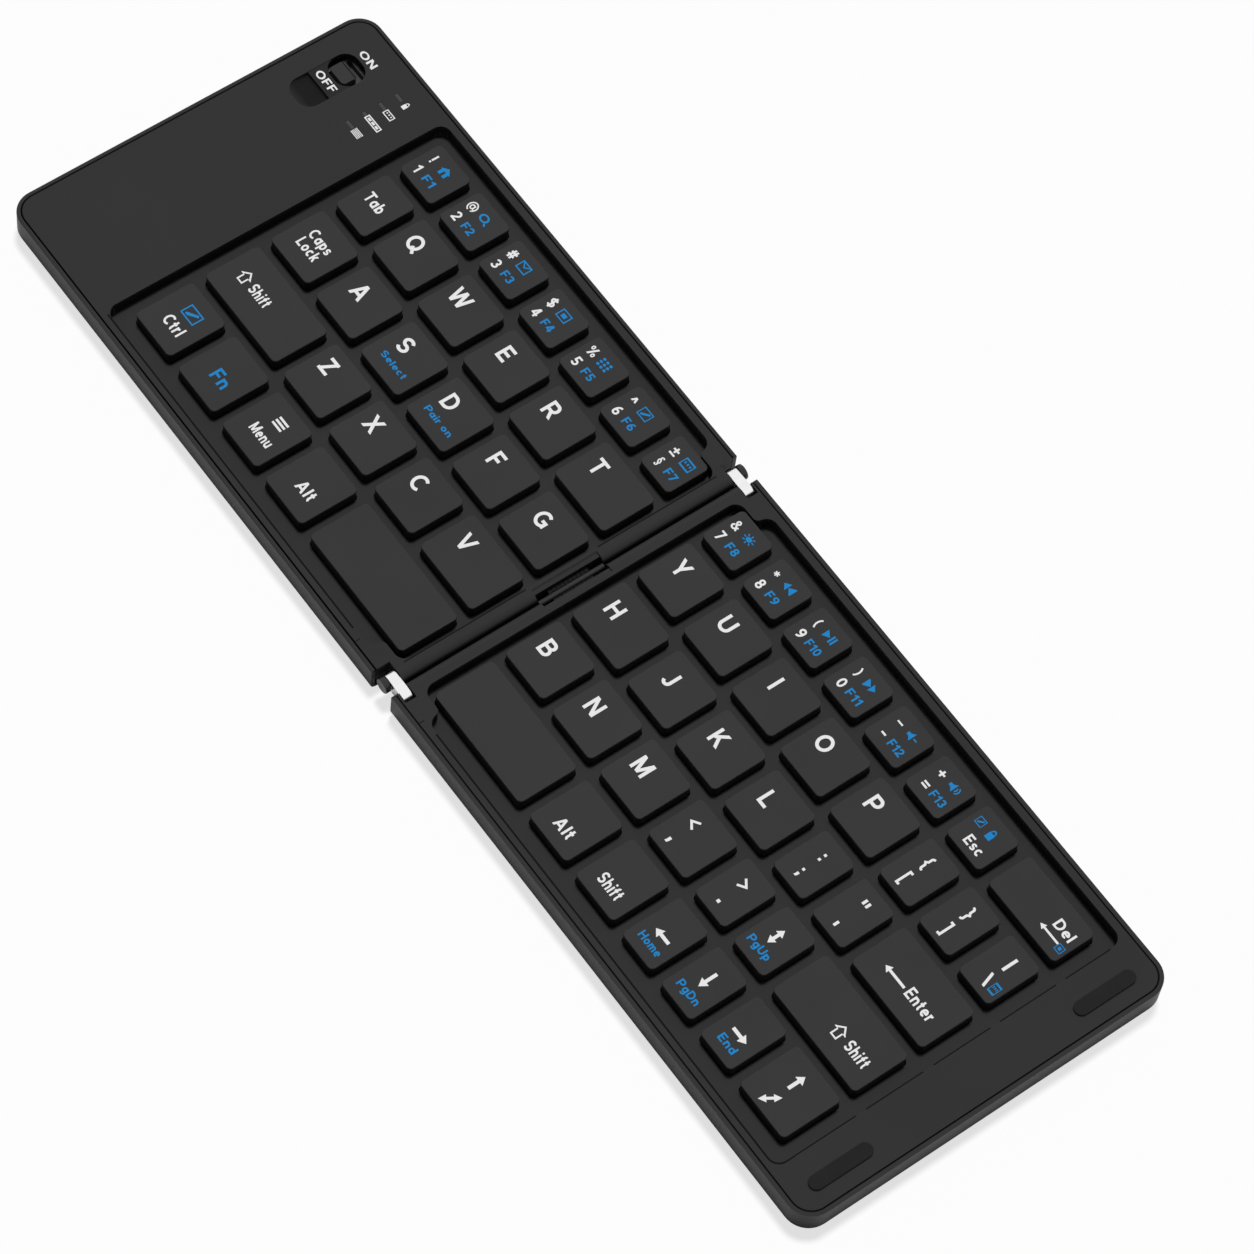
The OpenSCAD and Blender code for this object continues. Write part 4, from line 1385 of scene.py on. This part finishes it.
ICON_NOTES = """
left: f-.5,0/-.12,-.5/-.12,-.17/.5,-.17/.5,.17/-.12,.17/-.12,.5
both-ways: f0,.5/-.5,.16/-.18,.16/-.18,-.16/.18,-.16/.18,.16/.5,.16 f0,-.5/.5,-.16/-.5,-.16
long-left: f-.5,0/-.28,-.5/-.28,-.16/.5,-.16/.5,.16/-.28,.16/-.28,.5
shift: f-.5,.02/-.34,.02/0,.36/0,.5 f.5,.02/0,.5/0,.36/.34,.02 f-.5,.02/-.26,.02/-.26,.11/-.43,.11
shift: f.26,.02/.5,.02/.43,.11/.26,.11 b-.22,-.23,.1,.54 b.22,-.23,.1,.54 b0,-.45,.54,.1
home: f-.5,.02/.5,.02/0,.5 b-.23,-.24,.26,.52 b.23,-.24,.26,.52
search: r-.08,.08,.42,.26 f.18,-.28/.3,-.16/.5,-.4/.4,-.5
mail: w.09,.12 f-.42,.4/-.3,.4/0,.08/.3,.4/.42,.4/0,-.08
copy: w.09,.1 b0,0,.42,.4
back: f-.5,0/-.06,-.42/-.06,.42 f-.02,0/.42,-.42/.42,.42 b.46,0,.08,.84
play: f-.5,-.42/.02,0/-.5,.42 b.18,0,.14,.84 b.42,0,.14,.84
forward: f.5,0/.06,.42/.06,-.42 f.02,0/-.42,.42/-.42,-.42 b-.46,0,.08,.84
sound: f-.5,-.16/-.28,-.16/0,-.46/0,.46/-.28,.16/-.5,.16 r-.04,0,.3,.2,-50,100 r-.04,0,.5,.4,-50,100
quiet: f-.5,-.16/-.28,-.16/0,-.46/0,.46/-.28,.16/-.5,.16 b.28,0,.3,.12
lock: b0,-.22,.7,.56 r0,.08,.3,.17,0,180
menu: b0,.36,1,.2 b0,0,1,.2 b0,-.36,1,.2
cell: w.06,.2 b-.27,0,.2,.36 b0,0,.2,.36 b.27,0,.2,.36
keys: w.08,.16 b-.25,.06,.12,.22 b0,.06,.12,.22 b.25,.06,.12,.22
block: b0,-.43,1,.12 b0,-.215,1,.12 b0,0,1,.12 b0,.215,1,.12 b0,.43,1,.12
pen: w.07,.1 f-.3,-.3/-.14,-.3/.34,.22/.22,.34/-.3,-.16
"""


def letter_shapes() -> dict[str, tuple[float, list[Outline]]]:
    """Draws every letter and sign, 1 unit high.

    Returns:
        The width and the shapes of each.
    """
    letters: dict[str, tuple[float, list[Outline]]] = {" ": (0.2, [])}
    for line in LETTER_NOTES.strip().splitlines():
        sign, width, notes = line.split(" ", 2)
        letters[sign] = (float(width), letters.get(sign, (0.0, []))[1] + drawn(notes))
    for sign, twin, width in ((")", "(", 0.34), ("}", "{", 0.4), ("]", "[", 0.3), (">", "<", 0.6)):
        letters[sign] = (letters[twin][0], flipped(letters[twin][1], width))
    letters["9"] = (letters["6"][0], flipped(letters["6"][1], letters["6"][0], True))
    return letters


def icon_shapes() -> dict[str, list[Outline]]:
    """Draws every icon in a unit square round its middle.

    Returns:
        The shapes of each.
    """
    icons: dict[str, list[Outline]] = {}
    for line in ICON_NOTES.strip().splitlines():
        name, _, notes = line.partition(": ")
        icons[name] = icons.get(name, []) + drawn(notes)
    for name, degrees in (("right", 180), ("up", -90), ("down", 90)):
        icons[name] = turned(icons["left"], degrees)
    narrow, tall, lean = 0.42, 1.2, -33
    arrow = [[(narrow * x, tall * y) for x, y in shape] for shape in icons["both-ways"]]
    icons["aslant"] = turned(arrow, lean)
    rows, dot = (-0.36, 0.0, 0.36), 0.13
    icons["apps"] = [disc(x, y, dot, 10)[0] for x in rows for y in rows]
    ray, rays = bar(0.4, 0.0, 0.2, 0.1), 8
    icons["sun"] = disc(0, 0, 0.24)
    for i in range(rays):
        icons["sun"] += turned(ray, 360 / rays * i)
    return icons


LETTERS = letter_shapes()
ICONS = icon_shapes()


# --------------------------------------------------------------------- legends


class Ink(Enum):
    """The two inks of the legends."""

    WHITE = "white"
    BLUE = "blue"


@dataclass(frozen=True)
class Mark:
    """One printed word or icon, in millimetres from its key's upper left corner."""

    what: str
    x: float
    y: float
    height: float
    width: float = 0.0
    ink: Ink = Ink.WHITE
    icon: bool = False


def marks(notes: str) -> list[Mark]:
    """Reads the marks of one key.

    A note such as pen@2.3,-3.6,2,2:bi gives what is printed, its middle, its height and its
    width. After a colon, b stands for blue ink and i for an icon. A ~ stands for a blank.

    Args:
        notes: The notes, with blanks between them.

    Returns:
        The marks.
    """
    found = []
    for note in notes.split():
        what, _, rest = note.rpartition("@")
        numbers, _, flags = rest.partition(":")
        ink = Ink.BLUE if "b" in flags else Ink.WHITE
        place = [float(number) for number in numbers.split(",")]
        found.append(Mark(what.replace("~", " "), *place, ink=ink, icon="i" in flags))
    return found


def number_key(function: int, upper: str, lower: str, sign: str, reach: str) -> str:
    """Lays out a key of the number row.

    Args:
        function: The number of the blue function key.
        upper: The upper white sign.
        lower: The lower white sign.
        sign: The name of the blue icon.
        reach: How far the blue signs are from the key's left edge, in millimetres.

    Returns:
        The key's notes.
    """
    near = float(reach) - 4.0
    high, low = -3.4, -7.6
    size = 2.2 if upper in "_*" else 2.5
    wide = 3.1 if function < 10 else 3.9
    return (
        f"{upper}@{near},{high},{size} {lower}@{near},{low},2.5"
        f" {sign}@{reach},{high},2.5,3:bi F{function}@{reach},{low},2,{wide}:b"
    )


def letter_key(sign: str, x: float = 4.2, y: float = -5.1) -> str:
    """Lays out a letter key."""
    return f"{sign}@{x},{y},4.1"


def pair(
    upper: str, lower: str, x: float, high: float = -4.5, low: float = -10.1, size: float = 3.6
) -> str:
    """Lays out a key with two signs, one over the other."""
    return f"{upper}@{x},{high},{size} {lower}@{x},{low},{size}"


NUMBER_ROW = """
! 1 home 6.4
@ 2 search 6.4
# 3 mail 6.4
$ 4 copy 6.4
% 5 apps 6.4
^ 6 pen 6.4
± § keys 6.7
& 7 sun 6.4
* 8 back 6.4
( 9 play 6.6
) 0 forward 6.6
_ - quiet 6.9
+ = sound 7.1
"""
NUMBER_KEYS = [number_key(i, *row.split()) for i, row in enumerate(NUMBER_ROW.splitlines()) if i]
LEFT_NUMBER_KEYS = 7
LEGENDS: dict[str, list[str]] = {
    "left_number_keys": NUMBER_KEYS[:LEFT_NUMBER_KEYS],
    "right_number_keys": NUMBER_KEYS[LEFT_NUMBER_KEYS:],
    "escape_key": ["pen@2.3,-3.6,2,2:bi lock@5.8,-3.5,3,2.1:bi Esc@5.7,-7.9,2.5,4.7"],
    "delete_key": ["Del@16.9,-4.6,2.5,5 long-left@15.6,-7.5,1.5,5.6:i copy@19.4,-7.9,1.8,1.8:bi"],
    "tab_key": ["Tab@4.7,-6.4,2.8,5.4"],
    "left_upper_letter_keys": [letter_key(sign) for sign in "QWERT"],
    "right_upper_letter_keys": [
        *[letter_key(sign) for sign in "YUIOP"],
        pair("{", "[", 4.1),
        pair("}", "]", 4.7),
        "|@5.2,-4.5,3.8 \\@5.2,-10,3.4 keys@7.6,-10.2,2.6,1.8:bi",
    ],
    "caps_lock_key": ["Caps@6.6,-5,2.6,6.6 Lock@6.6,-8.2,2.6,6.2"],
    "left_home_letter_keys": [
        letter_key("A", 4.7),
        "S@4.3,-4.8,4.1 Select@6.8,-9.6,1.6,7.8:b",
        "D@4.4,-5,4.1 Pair~on@6.7,-9.7,1.6,8.6:b",
        letter_key("F", 4.4),
        letter_key("G", 4.8, -5.4),
    ],
    "right_home_letter_keys": [
        *[letter_key(sign, 4.5, -5.6) for sign in "HJKL"],
        pair(":", ";", 4.6, -4.6, -10.0, 3.0),
        pair('"', "'", 4.8, -3.9, -10.9, 3.4),
    ],
    "enter_key": ["long-left@7.6,-8.3,1.9,6:i Enter@15.2,-7.9,2.7,7.6"],
    "left_shift_key": ["shift@5.1,-6.6,3.4,3.4:i Shift@10.6,-6.7,2.7,5.8"],
    "left_lower_letter_keys": [
        letter_key("Z", 3.9, -4.6),
        letter_key("X", 4.1, -4.8),
        letter_key("C", 4.3, -5.0),
        letter_key("V", 4.8),
    ],
    "right_lower_letter_keys": [
        *[letter_key(sign, 4.1, -5.6) for sign in "BNM"],
        pair("<", ",", 3.7, -4.7, -10.6, 3.4),
        pair(">", ".", 4.5, -4.5, -10.6, 3.4),
    ],
    "page_up_key": ["both-ways@4.3,-6,4.4,2:i PgUp@4.3,-10.1,1.9,6.2:b"],
    "right_shift_key": ["shift@14.7,-8,3.5,3.4:i Shift@20.5,-8.1,2.7,6"],
    "left_ctrl_key": ["pen@6.8,-4.6,3.1,4.4:bi Ctrl@6.8,-9.1,2.8,5.4"],
    "fn_key": ["Fn@7.3,-8.3,3.2,4.4:b"],
    "system_key": ["menu@6.9,-4.3,2.6,3:i Menu@6.9,-8.9,2.5,6.2"],
    "left_alt_key": ["Alt@7.2,-8.8,2.8,4.8"],
    "right_alt_key": ["Alt@6.4,-10,2.8,4.8"],
    "small_shift_key": ["Shift@6.2,-10,2.8,6.2"],
    "left_arrow_key": ["left@5,-8,2.3,4.2:i Home@5,-10.9,1.9,6.1:b"],
    "down_arrow_key": ["down@4.8,-6.3,4.6,2.2:i PgDn@4.8,-10.9,1.9,6.1:b"],
    "right_arrow_key": ["right@5,-8.2,2.3,4.2:i End@5,-11.1,1.9,4.7:b"],
    "up_down_key": ["up@6.3,-5,4.2,2.3:i aslant@6,-11.2,4,4:i"],
}


@dataclass
class Printer:
    """Prints marks as thin ink films on flat tops."""

    film: float = 0.014 * MM
    sink: float = 0.01 * MM
    step: float = 0.0015 * MM
    levels: int = 8
    gap: float = 0.13
    spare_height: float = 1.08
    spare_drop: float = 0.04
    spare_weight: float = 0.012

    def spare_letter(self, sign: str) -> tuple[float, list[Outline]]:
        """Draws a sign that has no strokes here from the built-in letters.

        Args:
            sign: The sign.

        Returns:
            Its width and its triangles, for capitals 1 unit high.
        """
        curve = bpy.data.curves.new("sign", "FONT")
        curve.body = sign
        curve.resolution_u = 3
        curve.offset = self.spare_weight
        writer = add_object("writer", curve)
        bpy.context.view_layer.update()
        mesh = baked(writer)
        bpy.data.objects.remove(writer)
        places = np.array([vertex.co[:2] for vertex in mesh.vertices])
        low, high = places.min(axis=0), places.max(axis=0)
        scale = self.spare_height / (high[1] - low[1])
        places = (places - low) * scale - (0.0, self.spare_drop)
        shapes = [[tuple(places[i]) for i in face.vertices] for face in mesh.polygons]
        bpy.data.meshes.remove(mesh)
        return (high[0] - low[0]) * scale, shapes

    def set_word(self, text: str) -> tuple[float, list[Outline]]:
        """Sets a word in a line.

        Args:
            text: The word.

        Returns:
            Its width and its shapes, for capitals 1 unit high.
        """
        pen, shapes = 0.0, []
        for sign in text:
            width, outlines = LETTERS[sign] if sign in LETTERS else self.spare_letter(sign)
            shapes += [[(x + pen, y) for x, y in outline] for outline in outlines]
            pen += width + self.gap
        return pen - self.gap, shapes

    def add_mark(self, bm: BMesh, mark: Mark, x: float, y: float, z: float) -> None:
        """Adds a mark's film, centred on a point.

        Args:
            bm: The mesh that it is added to.
            mark: The mark.
            x: The middle across.
            y: The middle up.
            z: The height of the surface.
        """
        if mark.icon:
            wide, shapes = 1.0, ICONS[mark.what]
        else:
            wide, set_shapes = self.set_word(mark.what)
            shapes = [[(px - wide / 2, py - 0.5) for px, py in shape] for shape in set_shapes]
        tall = mark.height * MM
        across = mark.width * MM / wide if mark.width else tall
        for layer, shape in enumerate(shapes):
            area = sum(a[0] * b[1] - b[0] * a[1] for a, b in zip(shape, shape[1:] + shape[:1]))
            ordered = shape if area > 0 else shape[::-1]
            points = [(x + px * across, y + py * tall) for px, py in ordered]
            prism(bm, points, z - self.sink, z + self.film + layer % self.levels * self.step)

    def print_marks(
        self, name: str, placed: list[tuple[Mark, float, float, float]], body: str, slot: str
    ) -> None:
        """Prints marks, as one piece for each ink.

        Args:
            name: The start of the pieces' names.
            placed: Each mark with its middle and the height of its surface.
            body: The body that carries them.
            slot: The record's material slot.
        """
        for ink, finish in ((Ink.WHITE, WHITE_INK), (Ink.BLUE, BLUE_INK)):
            bm = bmesh.new()
            for mark, x, y, z in placed:
                if mark.ink is ink:
                    self.add_mark(bm, mark, x, y, z)
            if not bm.faces:
                bm.free()
                continue
            bm.normal_update()
            triangulate_ngons(bm)
            piece = add_object(f"{name}_{ink.value}_legends", mesh_of(bm, name))
            register(piece, finish, body, slot)


# ----------------------------------------------------------------- keys and housing


@dataclass
class Keycaps:
    """The hollow keycaps with their printed legends."""

    corner: float = 1.1 * MM
    rounding: float = 0.22 * MM
    skirt: float = 0.9 * MM
    roof: float = 1.0 * MM
    stem: float = 3.4 * MM

    def plan(self, node: str) -> Mesh:
        """Draws a node's keys from above.

        Args:
            node: The node that holds the keys.

        Returns:
            A mesh with one rectangle for each key and its corners' directions.
        """
        places, faces, corners = [], [], []
        for low, high in solid_boxes(node):
            faces.append(tuple(range(len(places), len(places) + 4)))
            for right, up in ((0, 0), (1, 0), (1, 1), (0, 1)):
                places.append((high.x if right else low.x, high.y if up else low.y, 0.0))
                corners.append((2 * right - 1, 2 * up - 1, 0.0))
        mesh = bpy.data.meshes.new(node + "_plan")
        mesh.from_pydata(places, [], faces)
        attribute = mesh.attributes.new("corner", "FLOAT_VECTOR", "POINT")
        attribute.data.foreach_set("vector", np.array(corners, np.float32).ravel())
        return mesh

    def build(self, recipe: Recipe, node: str) -> None:
        """Makes the keycaps that stand for one node.

        Args:
            recipe: The recipe of a keycap.
            node: The node.
        """
        low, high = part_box(node)
        tall = high.z - low.z
        caps = recipe.cook(
            node + "_caps",
            self.plan(node),
            KEYCAP,
            Corner_Radius=self.corner,
            Rounding=self.rounding,
            Skirt=self.skirt,
            Cap_Height=tall,
            Roof_Height=tall - self.roof,
            Stem=self.stem,
            Base=low.z,
        )
        even_normals(caps)
        register(caps, KEYCAP, node, "keycap", [node])

    def print_legends(self, printer: Printer, node: str) -> None:
        """Prints the legends of one node's keys.

        Args:
            printer: The printer of the legends.
            node: The node.
        """
        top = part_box(node)[1].z
        placed = []
        for (low, high), notes in zip(solid_boxes(node), LEGENDS.get(node, [])):
            for mark in marks(notes):
                placed.append((mark, low.x + mark.x * MM, high.y + mark.y * MM, top))
        printer.print_marks(node, placed, node, "keycap")

    def make(self, printer: Printer) -> None:
        """Makes every key.

        Args:
            printer: The printer of the legends.
        """
        recipe = keycap_recipe()
        for joint in frame["joints"]:
            if joint["name"].endswith("_press"):
                self.build(recipe, joint["child"])
                self.print_legends(printer, joint["child"])


class Edges(Enum):
    """Which sharp edges of a part are rounded."""

    ALL = "all"
    TOP = "top"
    BOTTOM = "bottom"


@dataclass(frozen=True)
class RoundedPart:
    """A part whose sharp edges are rounded."""

    node: str
    finish: Finish
    body: str
    slot: str
    width_mm: float
    edges: Edges = Edges.ALL
    sharp_degrees: float = 40.0
    flat_degrees: float = 0.4
    strips: int = 3
    level_reach: float = 0.02 * MM

    def edge_test(self) -> EdgeTest:
        """Makes a test for the edges that are rounded.

        Returns:
            The test.
        """
        limit = math.radians(self.sharp_degrees)
        low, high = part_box(self.node)
        height = {Edges.ALL: None, Edges.TOP: high.z, Edges.BOTTOM: low.z}[self.edges]

        def wanted(edge: bmesh.types.BMEdge) -> bool:
            """Says whether an edge is sharp and at the right height.

            Args:
                edge: The edge.

            Returns:
                True if it is rounded.
            """
            if not edge.is_manifold or edge.calc_face_angle(0.0) <= limit:
                return False
            levels = [abs(vert.co.z - height) for vert in edge.verts] if height is not None else []
            return all(off < self.level_reach for off in levels)

        return wanted

    def make(self) -> None:
        """Makes the part in place of its node."""
        wanted = self.edge_test()
        bm = merged_copy(self.node)
        bmesh.ops.dissolve_limit(
            bm,
            angle_limit=math.radians(self.flat_degrees),
            verts=bm.verts,
            edges=bm.edges,
            delimit={"NORMAL"},
        )
        bmesh.ops.bevel(
            bm,
            geom=[edge for edge in bm.edges if wanted(edge)],
            offset=self.width_mm * MM,
            offset_type="OFFSET",
            segments=self.strips,
            profile=0.5,
            affect="EDGES",
            clamp_overlap=True,
        )
        triangulate_ngons(bm)
        name = self.node + "_rounded"
        piece = add_object(name, mesh_of(bm, name))
        even_normals(piece)
        register(piece, self.finish, self.body, self.slot, [self.node])


SIDES = {"left": -1, "right": 1}
HALF_PARTS = (
    ("_bottom_shell", SHELL, "shell", 0.3, Edges.TOP),
    ("_top_cover", COVER, "cover", 0.28, Edges.TOP),
    ("_feet", PAD_RUBBER, "rubber", 0.2, Edges.BOTTOM),
)
HINGE_PARTS = (
    RoundedPart("closing_pads", PAD_RUBBER, "right_half", "rubber", 0.2, Edges.TOP),
    RoundedPart("hinge_links", LINK_METAL, "hinge_links", "link", 0.35, sharp_degrees=60.0),
    RoundedPart("hinge_pin_caps", DARK_TRIM, "left_half", "pin_cap", 0.2, sharp_degrees=60.0),
    RoundedPart("cable_sleeve", SLEEVE, "hinge_links", "sleeve", 0.12, sharp_degrees=60.0),
)


@dataclass
class CaseScrews:
    """The case screws, with a cross in each head."""

    recipe: Recipe
    head_radius: float = 1.4 * MM
    head_height: float = 0.7 * MM
    shank_radius: float = 0.7 * MM
    cross_length: float = 1.7 * MM
    cross_width: float = 0.42 * MM

    def make(self, side: str) -> None:
        """Makes the screws of one half.

        Args:
            side: The half's name.
        """
        node = side + "_screws"
        boxes = solid_boxes(node)
        mesh = bpy.data.meshes.new(node)
        centres = [((low.x + high.x) / 2, (low.y + high.y) / 2, low.z) for low, high in boxes]
        mesh.from_pydata(centres, [], [])
        screws = self.recipe.cook(
            node + "_cross_head",
            mesh,
            SCREW_STEEL,
            Head_Radius=self.head_radius,
            Head_Height=self.head_height,
            Shank_Radius=self.shank_radius,
            Length=boxes[0][1].z - boxes[0][0].z,
            Cross_Length=self.cross_length,
            Cross_Width=self.cross_width,
        )
        shade_smooth(screws.data)
        register(screws, SCREW_STEEL, side + "_half", "steel", [node])


@dataclass
class Half:
    """The housing of one half: its shell, cover, feet and screws."""

    side: str

    def make(self, screws: CaseScrews) -> None:
        """Makes the half's parts.

        Args:
            screws: The screws that close it.
        """
        for part, finish, *rest in HALF_PARTS:
            RoundedPart(self.side + part, finish, self.side + "_half", *rest).make()
        screws.make(self.side)


@dataclass
class PowerCorner:
    """The power switch's knob, and the signs round it and the indicator windows."""

    knob: RoundedPart = RoundedPart(
        "power_switch_knob", DARK_TRIM, "power_switch_knob", "knob", 0.25, Edges.TOP
    )
    bridge_drop: float = 0.15 * MM
    on_cover: str = (
        "ON@-127.8,38.5,1.8,5 lock@-113.6,38.5,2.2,1.5:i keys@-113.6,34,1.5,2.8:i"
        " cell@-113.7,30,1.4,4.7:i block@-113.5,25.7,1.6,2.5:i"
    )
    on_bridge: str = "OFF@-128.2,27.9,1.9,6.2"

    def make(self, printer: Printer) -> None:
        """Makes the knob and prints the signs, measured from the keyboard's own middle.

        Args:
            printer: The printer of the signs.
        """
        self.knob.make()
        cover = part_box("left_top_cover")[1].z
        placed = []
        for notes, height in ((self.on_cover, cover), (self.on_bridge, cover - self.bridge_drop)):
            placed += [(mark, mark.x * MM, mark.y * MM, height) for mark in marks(notes)]
        printer.print_marks("power_corner", placed, "left_half", "cover")


@dataclass
class FlatCables:
    """The flat cable of each half, laid level at the pivot's height and bent down to the key stack.
    """

    width: float = 10.0 * MM
    thickness: float = 0.2 * MM
    pivot_height: float = 5.8 * MM
    bend: float = 0.45 * MM
    drop_at: float = 2.8 * MM
    blend_from: float = 0.8 * MM
    blend_to: float = 2.3 * MM
    level_steps: int = 14
    bend_steps: int = 5

    def path(self, side: int) -> list[Point]:
        """Gives the middle line of the cable in one half.

        Args:
            side: -1 for the left half and 1 for the right half.

        Returns:
            Its points across and up, from the sleeve to the key stack.
        """
        low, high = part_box("left_flex_cable")
        tip, bottom = -high.x, low.z + self.thickness / 2
        run = (self.drop_at - self.bend - tip) / self.level_steps
        path = [(tip + run * i, self.pivot_height) for i in range(self.level_steps + 1)]
        turns = [math.pi / 2 * step / self.bend_steps for step in range(self.bend_steps + 1)]
        arcs = [(self.bend * math.sin(turn), self.bend * math.cos(turn)) for turn in turns]
        x, z = self.drop_at - self.bend, self.pivot_height - self.bend
        path += [(x + sin, z + cos) for sin, cos in arcs[1:]]
        x, z = self.drop_at + self.bend, bottom + self.bend
        path += [(x - cos, z - sin) for sin, cos in arcs]
        return [(side * x, z) for x, z in (*path, (-low.x, bottom))]

    def make_one(self, half: str, side: int) -> None:
        """Makes the cable of one half.

        Args:
            half: The half's name.
            side: -1 for the left half and 1 for the right half.
        """
        path = self.path(side)
        bm = bmesh.new()
        rows = []
        wide = self.width / 2
        for i, (x, z) in enumerate(path):
            along = Vector(path[min(i + 1, len(path) - 1)]) - Vector(path[max(i - 1, 0)])
            along.normalize()
            across = Vector((-along.y, along.x)) * self.thickness / 2
            corners = ((-1, -wide), (-1, wide), (1, wide), (1, -wide))
            rows.append([bm.verts.new((x + s * across.x, y, z + s * across.y)) for s, y in corners])
        for first, second in zip(rows, rows[1:]):
            join_rings(bm, first, second)
        bm.faces.new(rows[0])
        bm.faces.new(rows[-1])
        bmesh.ops.recalc_face_normals(bm, faces=bm.faces)
        name = half + "_flat_cable"
        cable = add_object(name, mesh_of(bm, name))
        shade_smooth(cable.data)
        cable.data.materials.append(CABLE_FILM.material())
        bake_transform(cable)
        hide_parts(half + "_flex_cable")
        log.info("%s: %d faces across the hinge", name, len(cable.data.polygons))

    def make(self) -> None:
        """Makes both cables."""
        for half, side in SIDES.items():
            self.make_one(half, side)


HALF_INNER_FINISHES = {
    "_support_plate": PLATE_STEEL,
    "_membrane": FILM,
    "_dome_sheet": DOME_SILICONE,
    "_hinge_pins": SCREW_STEEL,
}
INNER_FINISHES: dict[str, Finish] = {
    **{side + part: finish for side in SIDES for part, finish in HALF_INNER_FINISHES.items()},
    "main_board": BOARD,
    "radio_module": TINNED_STEEL,
    "indicator_leds": LAMP_CHIP,
    "board_screws": SCREW_STEEL,
    "battery": BATTERY_FOIL,
    "power_switch_housing": SWITCH_BODY,
    "indicator_lenses": WINDOW,
    "charging_socket": TINNED_STEEL,
}


def dress_inner_parts() -> None:
    """Dresses the parts that keep their own shape."""
    for node, finish in INNER_FINISHES.items():
        part = frame["nodes"][node]
        if not part.material_slots:
            part.data.materials.append(None)
        for slot in part.material_slots:
            slot.material = finish.material()
        log.info("%s: dressed in %s", node, finish.name)


# ------------------------------------------------------------------ the studio


@dataclass
class Studio:
    """A white floor, soft light from above and the camera."""

    camera_place: Tone = (0.38412, -0.34974, 0.91128)
    camera_target: Tone = (0.01488, 0.00296, 0.0076)
    camera_roll: float = 8.696
    camera_lens: float = 148.195
    lamp_strength: float = 3.05
    lamp_angle: float = 12.0
    lamp_turn: Tone = (-0.19, -0.19, 0.0)
    sky_strength: float = 0.06
    floor_size: float = 6.0
    floor_tone: float = 0.93
    floor_mottle: float = 0.01
    floor_cloud_mm: float = 400.0
    floor_roughness: float = 0.9
    floor_glow: float = 0.72

    def make_floor(self) -> None:
        """Lays the floor, and adds white where the camera sees it so that shadows stay faint."""
        bm = bmesh.new()
        bmesh.ops.create_grid(bm, x_segments=1, y_segments=1, size=self.floor_size)
        floor = add_object("studio_floor", mesh_of(bm, "studio_floor"))
        shader = Shader("studio_floor")
        dark, pale = ((self.floor_tone + rise,) * 3 for rise in (0.0, self.floor_mottle))
        shader.feed(
            Base_Color=shader.blend(shader.noise(self.floor_cloud_mm, 1.0), dark, pale),
            Roughness=self.floor_roughness,
            Specular_IOR_Level=0.0,
        )
        glow = Value(shader, shader.out("LightPath", take="Is Camera Ray")) * self.floor_glow
        sockets = {0: glow, 1: shader.surface.outputs[0], 2: shader.out("Emission")}
        shader.wire(shader.output.inputs["Surface"], shader.out("MixShader", {}, sockets))
        floor.data.materials.append(shader.material)

    def make_lamps(self) -> None:
        """Hangs a wide soft lamp overhead and lights the sky faintly."""
        lamp = bpy.data.lights.new("overhead_lamp", "SUN")
        lamp.energy = self.lamp_strength
        lamp.angle = math.radians(self.lamp_angle)
        hung = add_object("overhead_lamp", lamp)
        hung.rotation_euler = self.lamp_turn
        hung.visible_glossy = False
        world = bpy.data.worlds.new("studio_world")
        world.use_nodes = True
        tree = Tree(world.node_tree)
        rays = tree.node("LightPath").outputs
        kinds = ("Camera", "Transmission", "Glossy")
        seen, through, glossy = (Value(tree, rays[f"Is {kind} Ray"]) for kind in kinds)
        white = (1, 1, 1, 1)
        dim = tree.out("Background", {}, {"Color": white, "Strength": self.sky_strength})
        bright = tree.out("Background", {}, {"Color": white})
        sockets = {0: seen.at_least(through).at_least(glossy), 1: dim, 2: bright}
        tree.node("OutputWorld", {}, {"Surface": tree.out("MixShader", {}, sockets)})
        bpy.context.scene.world = world

    def make_camera(self) -> None:
        """Sets up the camera."""
        lens = bpy.data.cameras.new("camera")
        lens.lens = self.camera_lens
        lens.sensor_width = 36.0
        lens.clip_start = 0.01
        place, target = Vector(self.camera_place), Vector(self.camera_target)
        ahead = (target - place).normalized()
        side = ahead.cross(Vector((0, 0, 1))).normalized()
        roll = math.radians(self.camera_roll)
        right = side * math.cos(roll) + side.cross(ahead) * math.sin(roll)
        turn = Matrix((right, right.cross(ahead), -ahead)).transposed().to_4x4()
        camera = add_object("camera", lens)
        camera.matrix_world = Matrix.Translation(place) @ turn
        bpy.context.scene.camera = camera

    def make(self) -> None:
        """Makes the studio."""
        self.make_floor()
        self.make_lamps()
        self.make_camera()
        bpy.context.scene.view_settings.view_transform = "Standard"


def main() -> None:
    """Builds the keyboard in order."""
    logging.basicConfig(level=logging.INFO, format="%(message)s")
    printer = Printer()
    screws = CaseScrews(screw_recipe())
    Studio().make()
    for side in SIDES:
        Half(side).make(screws)
    for part in HINGE_PARTS:
        part.make()
    FlatCables().make()
    Keycaps().make(printer)
    PowerCorner().make(printer)
    dress_inner_parts()


if __name__ == "__main__":
    main()
